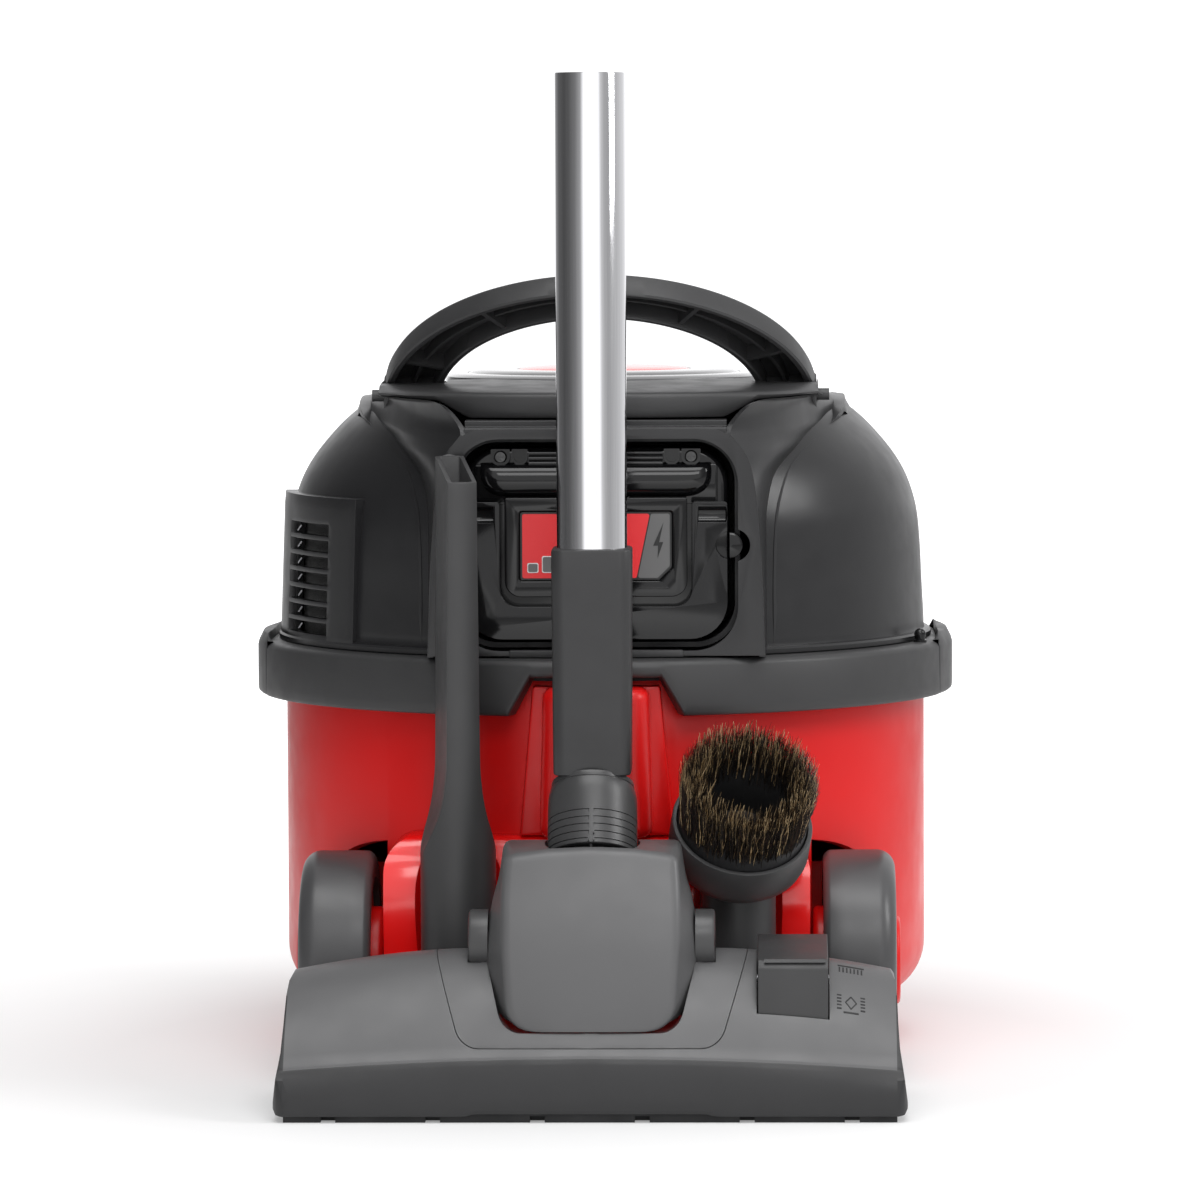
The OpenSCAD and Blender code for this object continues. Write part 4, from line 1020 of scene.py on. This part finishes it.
def make_lid():
    cover = lathe("lid", [(0, 341.6), (70.8, 341.6), (71, 344.4), (71.8, 344.9), (76, 344.8), (79.5, 344.2),
                          (81.4, 343.0), (82, 341.4), (82, 340.2), (81.4, 339.2), (77, 339), (77, 331),
                          (74, 331), (74, 340), (0, 340)], 256)
    boolean(cover, [upright("button_room", 7.4, 330, 352, 0, BUTTON_Y, 64)])
    piece(cover, "motor_head", "grey_plastic", LID_GREY, "lid_cover", angle=30)
    ring = lathe("lid_gloss_ring", [(45.3, 341.9), (45.3, 345.6), (46.0, 346.3), (47.5, 346.6), (58, 346.9),
                                    (64, 346.6), (68, 345.8), (70.2, 344.4), (70.6, 343), (70.6, 341.9)],
                 256, closed=True)
    boolean(ring, [upright("button_room", 7.4, 330, 352, 0, BUTTON_Y, 64)])
    piece(ring, "motor_head", "gloss_grey", LID_GREY, "lid_ring", angle=30)
    disc = lathe("lid_red_disc", [(0, 341.9), (44.9, 341.9), (44.9, 345.2), (44.2, 346.2), (42.6, 346.8),
                                  (34, 347.6), (20, 348.1), (0, 348.3)], 192)
    piece(disc, "motor_head", "red_plastic", RED_BRIGHT, "lid_disc", angle=30)
    button = lathe("start_button", [(0, 337.6), (7, 337.6), (7, 347.2), (6.5, 347.9), (5.4, 348),
                                    (4.6, 347.4), (0, 347.1)], 64, at=(0, BUTTON_Y, 0))
    piece(button, "button", "red_plastic", RED_BRIGHT, "power_button", angle=30)


# ---------- Wand and neck ----------
LEAN = Matrix.Translation((0, WAND_Y, 158)) @ Matrix.Rotation(-NECK_LEAN, 4, "X")


def round_neck(degrees, section):
    """A section of (radius, height), put at a bearing round the leaning neck."""
    s, c = math.sin(math.radians(degrees)), math.cos(math.radians(degrees))
    return [tuple(LEAN @ Vector((r * s, -r * c, h))) for r, h in section]


def make_wand():
    tube = lathe("tube", [(16.2, 172), (17, 172), (17, 494.6), (16.8, 495), (16.4, 495), (16.2, 494.6)],
                 192, closed=True, at=(0, WAND_Y, 0))
    piece(tube, "wand", "wand_chrome", CHROME, "wand_tube", angle=30)
    rows = []
    for z, inset in ((158, 0.8), (158.5, 0.2), (159.2, 0), (180, 0), (205, 0), (230, 0), (250, 0),
                     (265.6, 0), (266.5, 0.3), (267, 1.2)):
        half = mix(18.7, 19.3, (z - 158) / 109) - inset
        rows.append([(x, y + WAND_Y, z) for x, y in rectangle(-half, half, -half, half, 6.2, 10)])
    sleeve = grid("sleeve", rows)
    arm = block("hook_arm", -8, 8, WAND_Y + 16, -187, 190.2, 197)
    tongue = block("hook_tongue", -8, 8, -191.4, -186.6, 178, 197)
    boolean(sleeve, [arm, tongue], "UNION")
    boolean(sleeve, [upright("tube_room", 17.0, 172, 280, 0, WAND_Y, 192),
                     upright("sleeve_bore", 15, 150, 175, 0, WAND_Y)])
    edge_round(sleeve, 0.5, 2, 50)
    piece(sleeve, "wand", "grey_plastic", SLEEVE_GREY, "wand_sleeve", angle=32)


CUFF_TOP, CUFF_END = -5.4, -43.4


def make_cuff():
    outline = [(15.1, CUFF_TOP), (19.0, CUFF_TOP), (19.7, -5.8), (20.0, -6.6), (20.0, -8.2), (19.7, -8.4),
               (19.7, -8.7), (20.1, -8.9), (20.6, -10.4), (21.1, -12.4), (21.4, -14.6), (21.5, -18),
               (21.7, CUFF_END + 0.3), (21.4, CUFF_END), (15.1, CUFF_END)]
    cuff = lathe("cuff", outline, 192, closed=True, turn=LEAN)
    cuts = []
    for i in range(5):
        z = -26.4 - 3.7 * i
        for side in (-1, 1):
            groove = [(20.9, z - 0.25), (24, z - 0.25), (24, z + 0.25), (20.9, z + 0.25)]
            cuts.append(grid("groove", [round_neck(side * a, groove) for a in spaced(2.6, 171, 4)]))
            tick = [(20.9, z - 1.9), (24, z - 1.9), (24, z), (20.9, z)]
            cuts.append(grid("tick", [round_neck(side * a, tick) for a in (2.6, 3.9)]))
    boolean(cuff, cuts)
    piece(cuff, "wand", "grey_plastic", CUFF_GREY, "swivel_cuff", angle=32)


def make_neck():
    parts = [lathe("neck", [(12.5, -66), (19.6, -66), (19.6, -48.6), (19.2, -47.6), (17.6, -47.2),
                            (17.6, -44), (12.5, -44)], 128, closed=True, turn=LEAN)]
    parts.append(lathe("neck_pipe", [(12.5, -62), (14.9, -62), (14.9, -20), (12.5, -20)], 96, closed=True,
                       turn=LEAN))
    tab = [(17, -48), (20.4, -48), (20.4, -43.8), (17, -43.8)]
    parts.append(grid("neck_tab", [round_neck(a, tab) for a in (-1.6, 1.6)]))
    barrel = lathe("barrel", [(7.05, 0), (19, 0), (19, 82), (7.05, 82)], 96, closed=True,
                   at=(-41, PIVOT_Y, PIVOT_Z), turn=turned(90, "Y"))
    boolean(barrel, [lathe("barrel_bore", [(0, -62), (12.5, -62), (12.5, -10), (0, -10)], 64, turn=LEAN)])
    parts.append(barrel)
    piece(join("neck_pipe_and_barrel", parts), "neck", "dark_plastic", SEAL, "neck_tube", angle=32)


def hood_front(z):
    return interpolate([(42, -301), (52, -299.8), (62, -297.8), (74, -294.8), (84, -291.8), (94, -288.2),
                        (104, -284), (114, -279.6), (120, -276.8), (126, -273.6)], z)


def hood_solid(name, inset, z0, z1):
    rows = []
    heights = [z0, z0 + 0.5, z0 + 1.5, z0 + 3, z0 + 5, z0 + 7.5, z0
               + 11] + spaced(z0 + 14, z1 - 5, 4) + [z1 - 3, z1 - 1.6, z1 - 0.6, z1]
    for z in heights:
        low = max(0.0, z0 + 11.5 - z)
        round_low = 11.5 - math.sqrt(max(0.0, 11.5 ** 2 - low ** 2))
        high = max(0.0, z - (z1 - 3))
        round_high = 3 - math.sqrt(max(0.0, 9 - high ** 2))
        face = interpolate([(42, 39.4), (60, 41.2), (84, 42.6), (110, 42.4), (126, 41.6)],
                           z) - inset - round_low - round_high
        wide = interpolate([(42, 42), (60, 48.6), (80, 50.6), (100, 47.6), (114, 44.6), (128, 42.4)],
                           z) - inset - round_low - round_high * 0.6
        front = hood_front(z) + inset + round_high * 1.2
        back = -238 if z > 84 else mix(-285, -238, smooth(40, 84, z))
        half = [(0, front - 0.5), (face * 0.5, front - 0.35), (face - 5, front - 0.1),
                (face - 2.0, front + 0.25), (face - 0.6, front + 1.2),
                (face + 0.1, front + min(3.0, 0.2 * (back - front))),
                (mix(face, wide, 0.3), front + min(9, 0.4 * (back - front))),
                (mix(face, wide, 0.72), front + min(17, 0.65 * (back - front))),
                (wide, front + min(27, 0.85 * (back - front))), (wide - 0.1, back - 0.6), (wide - 1.5, back)]
        ring = half + [(-x, y) for x, y in reversed(half) if x > 0]
        crown = smooth(96, 126, z) * 4.2
        rows.append([(x, y, z - crown * (x / 42) ** 2 + 3.6 * smooth(112, 126, z) * smooth(-272, -246, y))
                     for x, y in ring])
    return grid(name, rows)


def make_hood():
    hood = hood_solid("hood", 0, 41.6, 126.4)
    hollow = hood_solid("hood_hollow", 2.6, 30, 123.4)
    boolean(hood, [hollow, lathe("cuff_room", [(0, -66), (22.9, -66), (22.9, 14), (0, 14)], 128, turn=LEAN),
                   rod("pin_room", 8, -60, 60, PIVOT_Y, PIVOT_Z, 64)])
    piece(hood, "neck", "grey_plastic", HEAD_GREY, "neck_hood", angle=44)
    bosses = []
    for side in (-1, 1):
        turn = turned(90 * side, "Y")
        bosses.append(lathe("boss", [(0, 49.6), (15, 49.6), (15, 57.4), (14.6, 58.5), (13.4, 59), (0, 59)],
                            96, at=(0, PIVOT_Y, PIVOT_Z), turn=turn))
        bosses.append(lathe("pin", [(0, 30), (7, 30), (7, 50), (0, 50)], 48, at=(0, PIVOT_Y, PIVOT_Z),
                            turn=turn))
        bosses.append(block("boss_leg", *span(side, 53, 59), -265, -251, 5, 80))
    piece(join("hood_bosses", bosses), "floor_head", "grey_plastic", CUFF_GREY, "pivot_bosses", angle=32)


# ---------- Floor head ----------
def head_edge(x):
    """Height of the crowned line where the head's top meets its lip."""
    return 29.6 - 5.0 * (x / 137) ** 2


def head_top(x, y):
    z = interpolate([(-306.6, 31.4), (-303.5, 36.6), (-296, 47), (-287, 57.4), (-277, 66.4), (-267, 72.8),
                     (-258, 75.8), (-250, 75.2), (-241, 71.6), (-232, 64.4), (-226, 57.2), (-222.6, 50)], y)
    u = abs(x)
    drop = 0 if u < 58 else 10.8 * ((u - 58) / 88) ** 1.7
    lip = (29.6 - head_edge(x)) * smooth(60, 28, z)
    return z - drop * smooth(28, 66, z) - lip


def head_solid():
    rows = []
    for x in spaced(-151, 151, 3):
        e = head_edge(x)
        raised = 1.2 * smooth(60, 54, abs(x))
        section = [(-313.0, 3 + raised), (-313.8, 3.8 + raised), (-314, 6), (-313.5, 12), (-312.2, 20),
                   (-310.4, e - 2.4), (-309.8, e - 0.8), (-308.9, e + 0.3), (-307.9, e + 1.0)]
        section += [(y, head_top(x, y)) for y in (-306.6, -303.5, -300, -296, -292, -287, -282, -277, -272,
                                                  -267, -262, -258, -254, -250, -246, -241, -236, -232,
                                                  -228, -226, -224, -222.6)]
        section += [(-222, 46), (-222, 3)]
        rows.append([(x, y, z) for y, z in section])
    solid = grid("head", rows)
    side = [(143, 2.6), (148.5, 3.6), (150, 6.4), (150.0, 9), (148.6, 20), (146.6, 32), (145.9, 44),
            (145.6, 56), (144.8, 62), (142.6, 66), (138, 69.5), (128, 80)]
    front = prism("head_front", mirrored(side), -330, -200)
    plan = prism("head_plan", rectangle(-150.5, 150.5, -314.5, -221.5, 9, 8), -5, 90, "z")
    boolean(solid, [front], "INTERSECT")
    return boolean(solid, [plan], "INTERSECT")


def insert_outline(grow):
    return fillet([(-77 - grow, 96), (-74.6 - grow, 76), (-61.0 - grow, 34.3 - grow),
                   (61.0 + grow, 34.3 - grow), (74.6 + grow, 76), (77 + grow, 96)], [0, 30, 12, 12, 30, 0],
                  10)


def hood_gap(grow):
    return fillet([(-53 - grow, 96), (-51.6 - grow, 78), (-41.6 - grow, 40.8 - grow),
                   (41.6 + grow, 40.8 - grow), (51.6 + grow, 78), (53 + grow, 96)],
                  [0, 20, 11.5, 11.5, 20, 0], 10)


def make_head():
    solid = head_solid()
    panel = copy_of(solid, "insert")
    boolean(panel, [prism("insert_limit", insert_outline(0), -311.8, -234.5)], "INTERSECT")
    boolean(panel, [prism("hood_cut", hood_gap(0), -330, -200), block("panel_under", -90, 90, -303, -200,
            -5, 31)] + [rod("boss_cut", 15.4, *span(side, 52.7, 59.3), PIVOT_Y, PIVOT_Z, 64)
            for side in (-1, 1)] + [block("leg_cut", *span(side, 52.7, 59.3), -265.4, -250.6, 20, 80)
            for side in (-1, 1)])
    edge_round(panel, 0.7, 3, 45)
    piece(panel, "floor_head", "grey_plastic", HEAD_GREY, "insert_panel", angle=36)
    cavity = block("head_cavity", -144, 144, -303, -227, -2, 27)
    cuts = [prism("insert_room", insert_outline(0.35), -312.3, -234.1), prism("hood_cut", hood_gap(1),
            -330, -200), cavity, block("sole_room", -145.2, 145.2, -311.2, -224.8, -2, 5.2),
            block("pedal_room", 78.8, 113.4, -293.4, -237.6, 42, 90)]
    boolean(solid, cuts)
    edge_round(solid, 0.8, 3, 40)
    # Below the crowned edge the shell becomes the lip, in the head's grey painted darker as shade.
    lip = copy_of(solid, "head_lip")
    for obj, keep_lip in ((solid, False), (lip, True)):
        mesh = bmesh.new()
        mesh.from_mesh(obj.data)
        doomed = []
        for face in mesh.faces:
            c = face.calc_center_median() / MM
            below = c.z < head_edge(c.x) + 0.6 or (abs(c.x) > 145.3 and c.z < 62)
            if below != keep_lip:
                doomed.append(face)
        bmesh.ops.delete(mesh, geom=doomed, context="FACES")
        mesh.to_mesh(obj.data)
        mesh.free()
    solid.name = "head_top"
    piece(solid, "floor_head", "grey_plastic", HEAD_GREY, "head_shell", angle=36)
    piece(lip, "floor_head", "grey_plastic", LIP_SHADE_GREY, angle=36)


def make_pedal():
    side = fillet([(-292.6, 45.4), (-291.2, 70.5), (-288, 74.2), (-262, 78.2), (-243, 81.2), (-239, 78.6),
                   (-239, 66), (-262, 50), (-280, 45.2)], [0.5, 2.5, 2.5, 12, 2.5, 1.5, 1.5, 4, 2], 6)
    pedal = prism("pedal", side, 79.4, 112.8, "x")
    edge_round(pedal, 1.0, 3, 40)
    step = prism("pedal_line", [(-290.4, 73.2), (-289.4, 74.7), (-286.4, 75.2), (-287.0, 73.4)], 82.4,
                 111.6, "x")
    barrel = lathe("pedal_barrel", [(2.05, 0), (5, 0), (5, 32), (2.05, 32)], 48, closed=True,
                   at=(80, PEDAL_Y, PEDAL_Z), turn=turned(90, "Y"))
    bore = rod("pedal_bore", 2.05, 78, 114, PEDAL_Y, PEDAL_Z, 32)
    boolean(pedal, [bore])
    piece(join("pedal_rocker", [pedal, barrel, step]), "pedal", "dark_plastic", TOOL_GREY, "rocker_pedal",
          angle=36)


def mark(points, lift=0.12):
    """A thin moulded mark lying on the head's top, from corners given as (x, y)."""
    top = [(x, y, head_top(x, y) + lift) for x, y in points]
    under = [(x, y, head_top(x, y) - 0.5) for x, y in points]
    return grid("mark", [under, top])


def bar_mark(x0, x1, y0, y1):
    return mark([(x0, y0), (x1, y0), (x1, y1), (x0, y1)])


def make_marks():
    marks = []
    # Brush raised: a plain bar over a row of short strokes.
    marks.append(bar_mark(117.5, 130, -264.4, -263.6))
    for i in range(7):
        marks.append(bar_mark(118 + 1.75 * i, 118.7 + 1.75 * i, -268.8, -265.4))
    # Carpet: a diamond between two short rows of strokes.
    cx, cy = 123.6, -285.2
    for a, b in (((-2.6, 0), (0, 2.9)), ((0, 2.9), (2.6, 0)), ((2.6, 0), (0, -2.9)), ((0, -2.9), (-2.6, 0))):
        d = Vector((b[0] - a[0], b[1] - a[1])).normalized() * 0.28
        marks.append(mark([(cx + a[0] - d.y, cy + a[1] + d.x), (cx + b[0] - d.y, cy + b[1] + d.x),
                           (cx + b[0] + d.y, cy + b[1] - d.x), (cx + a[0] + d.y, cy + a[1] - d.x)]))
    for side in (-1, 1):
        for i in range(5):
            x = cx + side * 5.6
            marks.append(bar_mark(x - 1.1, x + 1.1, cy - 3.4 + 1.55 * i, cy - 2.8 + 1.55 * i))
    marks.append(bar_mark(cx - 3.6, cx + 3.6, cy - 4.9, cy - 4.3))
    piece(join("head_marks", marks), "floor_head", "dark_plastic", SEAL)


# ---------- Parked tools ----------
CREVICE_HALF = [(112, 18.45), (116, 18.0), (120, 16.9), (126, 14.8), (133, 12.3), (141, 10.3), (150, 9.0),
                (158, 8.35), (180, 8.05), (205, 7.85), (250, 7.5), (293, 7.2), (311, 7.1)]


def make_crevice():
    """A round socket that narrows into a flat nozzle: a cylinder cut by two side planes that draw in."""
    turn = turned(13, "Z")
    at = Vector((TOOL_X[0], TOOL_Y, 0))
    rows = []
    for z in [28.6, 29.2] + spaced(34, 110, 8) + spaced(112, 160, 1.5) + spaced(166, 310, 9):
        r = 18.55 - (0.5 if z < 29 else 0)
        half = min(interpolate(CREVICE_HALF, z), r - 0.05)
        edge = math.asin(half / r)
        front = [(r * math.sin(t), -r * math.cos(t)) for t in spaced(-edge, edge, 2 * edge / 24)]
        side = [(half, y) for y in spaced(front[-1][1], -front[-1][1], -2 * front[-1][1] / 8)[1:-1]]
        half_ring = front + side
        section = half_ring + [(-x, -y) for x, y in half_ring]
        rows.append([tuple(at + turn @ Vector((x, y, 0)) + Vector((0, 0, z))) for x, y in section])
    tool = grid("crevice", rows)
    bore = [[tuple(at + turn @ Vector((x, y, 0)) + Vector((0, 0, z))) for x,
             y in rectangle(-5.1, 5.1, -16.4, 16.4, 1.2, 4)] for z in (152, 330)]
    tip = grid("crevice_tip", [[tuple(at + turn @ Vector(p)) for p in ((x, -30, 290.8), (x, -18.3, 297),
            (x, 18.3, 309), (x, 30, 333), (x, -30, 333))] for x in (-14, 14)])
    boolean(tool, [grid("crevice_bore", bore), tip, upright("post_room", 15.75, 20, 82, at.x, at.y, 96),
                   upright("pipe", 13, 80, 116, at.x, at.y, 64)])
    edge_round(tool, 0.5, 2, 40)
    piece(tool, "crevice", "dark_plastic", TOOL_GREY, "crevice_tool", angle=30)


def make_brush():
    bowl = [(19, -34.0), (20.6, -33), (24.5, -30), (29.5, -26), (33.0, -21.4), (34.4, -16.5), (34.4, -1.2),
            (34.1, -0.3), (33.4, 0), (32.4, 0), (32.0, -0.5), (32.0, -13), (13, -13), (13, -34)]
    cup = lathe("brush_cup", bowl, 192, closed=True, turn=BRUSH)
    x, y = TOOL_X[1], TOOL_Y
    rows = []
    for z in spaced(28.6, 92, 8) + spaced(94, 116, 2):
        t = smooth(92, 116, z)
        grow = mix(18.6, 21.5, t)
        rows.append([(x + mix(0, 2.4, t) + grow * math.cos(a), y + mix(0, -4.5, t) + grow * math.sin(a), z)
                     for a in (2 * math.pi * i / 96 for i in range(96))])
    stem = grid("brush_stem", rows)
    boolean(stem, [upright("post_room", 15.75, 20, 82, x, y, 96), upright("pipe", 13, 80, 106, x, y, 64),
                   lathe("cup_room", [(0, -31), (21, -31), (30, -25), (33, -15), (33, 20), (0, 20)], 96,
                         turn=BRUSH)])
    piece(join("brush_cup_and_stem", [cup, stem]), "dusting_brush", "dark_plastic", TOOL_GREY, "brush_body",
          angle=32)


def make_bristles():
    rng = random.Random(7)
    tones = {"dark": ([], []), "brown": ([], []), "gold": ([], [])}
    for _ in range(5600):
        ring = math.sqrt(rng.random())
        base_r = mix(20.5, 30.8, ring)
        a = rng.random() * 2 * math.pi
        tone = rng.random()
        name = "dark" if tone < 0.68 else ("brown" if tone < 0.86 else "gold")
        length = mix(44, 50.5, rng.random()) * (0.93 if name == "dark" else 1.0)
        splay = mix(-0.5, 1.0, ring) * 3.2 + rng.gauss(0, 0.9)
        wave, phase, turns = rng.uniform(0.3, 1.1), rng.random() * 6.28, rng.uniform(1.5, 3.2)
        twist = rng.gauss(0, 0.05)
        thick = rng.uniform(0.13, 0.24) * (1.35 if name == "gold" else 1.0)
        points, faces = tones[name]
        start = len(points)
        steps = 9
        for k in range(steps):
            t = k / (steps - 1)
            r = base_r + splay * t * t + wave * math.sin(phase + turns * 2 * math.pi * t) * t
            r = min(r, 34.6)
            b = a + twist * t + wave * 0.03 * math.cos(phase + turns * 6.28 * t) * t
            centre = Vector((r * math.cos(b), r * math.sin(b), -12.5 + length * t))
            wide = thick * (1 - 0.75 * t ** 3)
            for q in range(3):
                c = 2 * math.pi * q / 3 + a
                p = BRUSH @ (centre + Vector((wide * math.cos(c), wide * math.sin(c), 0)))
                points.append(tuple(p))
        for k in range(steps - 1):
            for q in range(3):
                n = (q + 1) % 3
                s = start + 3 * k
                faces.append((s + q, s + n, s + 3 + n, s + 3 + q))
        faces.append((start + 2, start + 1, start))
        e = start + 3 * (steps - 1)
        faces.append((e, e + 1, e + 2))
    for name, material in (("dark", HAIR_DARK), ("brown", HAIR_BROWN), ("gold", HAIR_GOLD)):
        points, faces = tones[name]
        mesh = bpy.data.meshes.new("bristles_" + name)
        mesh.from_pydata([place(p) for p in points], [], faces)
        obj = bpy.data.objects.new("bristles_" + name, mesh)
        bpy.context.scene.collection.objects.link(obj)
        slot = {"dark": "bristle_black", "brown": "bristle_brown", "gold": "bristle_brown"}[name]
        piece(obj, "dusting_brush", slot, material, *(("bristle_ring",) if name == "dark" else ()), angle=80)
    core = lathe("bristle_root", [(19.5, -12.9), (31.6, -12.9), (31.4, 4), (29, 14), (24, 14), (20.2, 4)],
                 96, closed=True, turn=BRUSH)
    piece(core, "dusting_brush", "bristle_black", SEAL)


HAIR_DARK = hair("hair_dark", (0.006, 0.005, 0.005), (0.022, 0.016, 0.012))
HAIR_BROWN = hair("hair_brown", (0.022, 0.014, 0.009), (0.075, 0.048, 0.026))
HAIR_GOLD = hair("hair_gold", (0.22, 0.13, 0.05), (0.75, 0.56, 0.32))

make_bridge()
make_handle()
make_lid()
make_wand()
make_cuff()
make_neck()
make_hood()
make_head()
make_pedal()
make_marks()
make_crevice()
make_brush()
make_bristles()
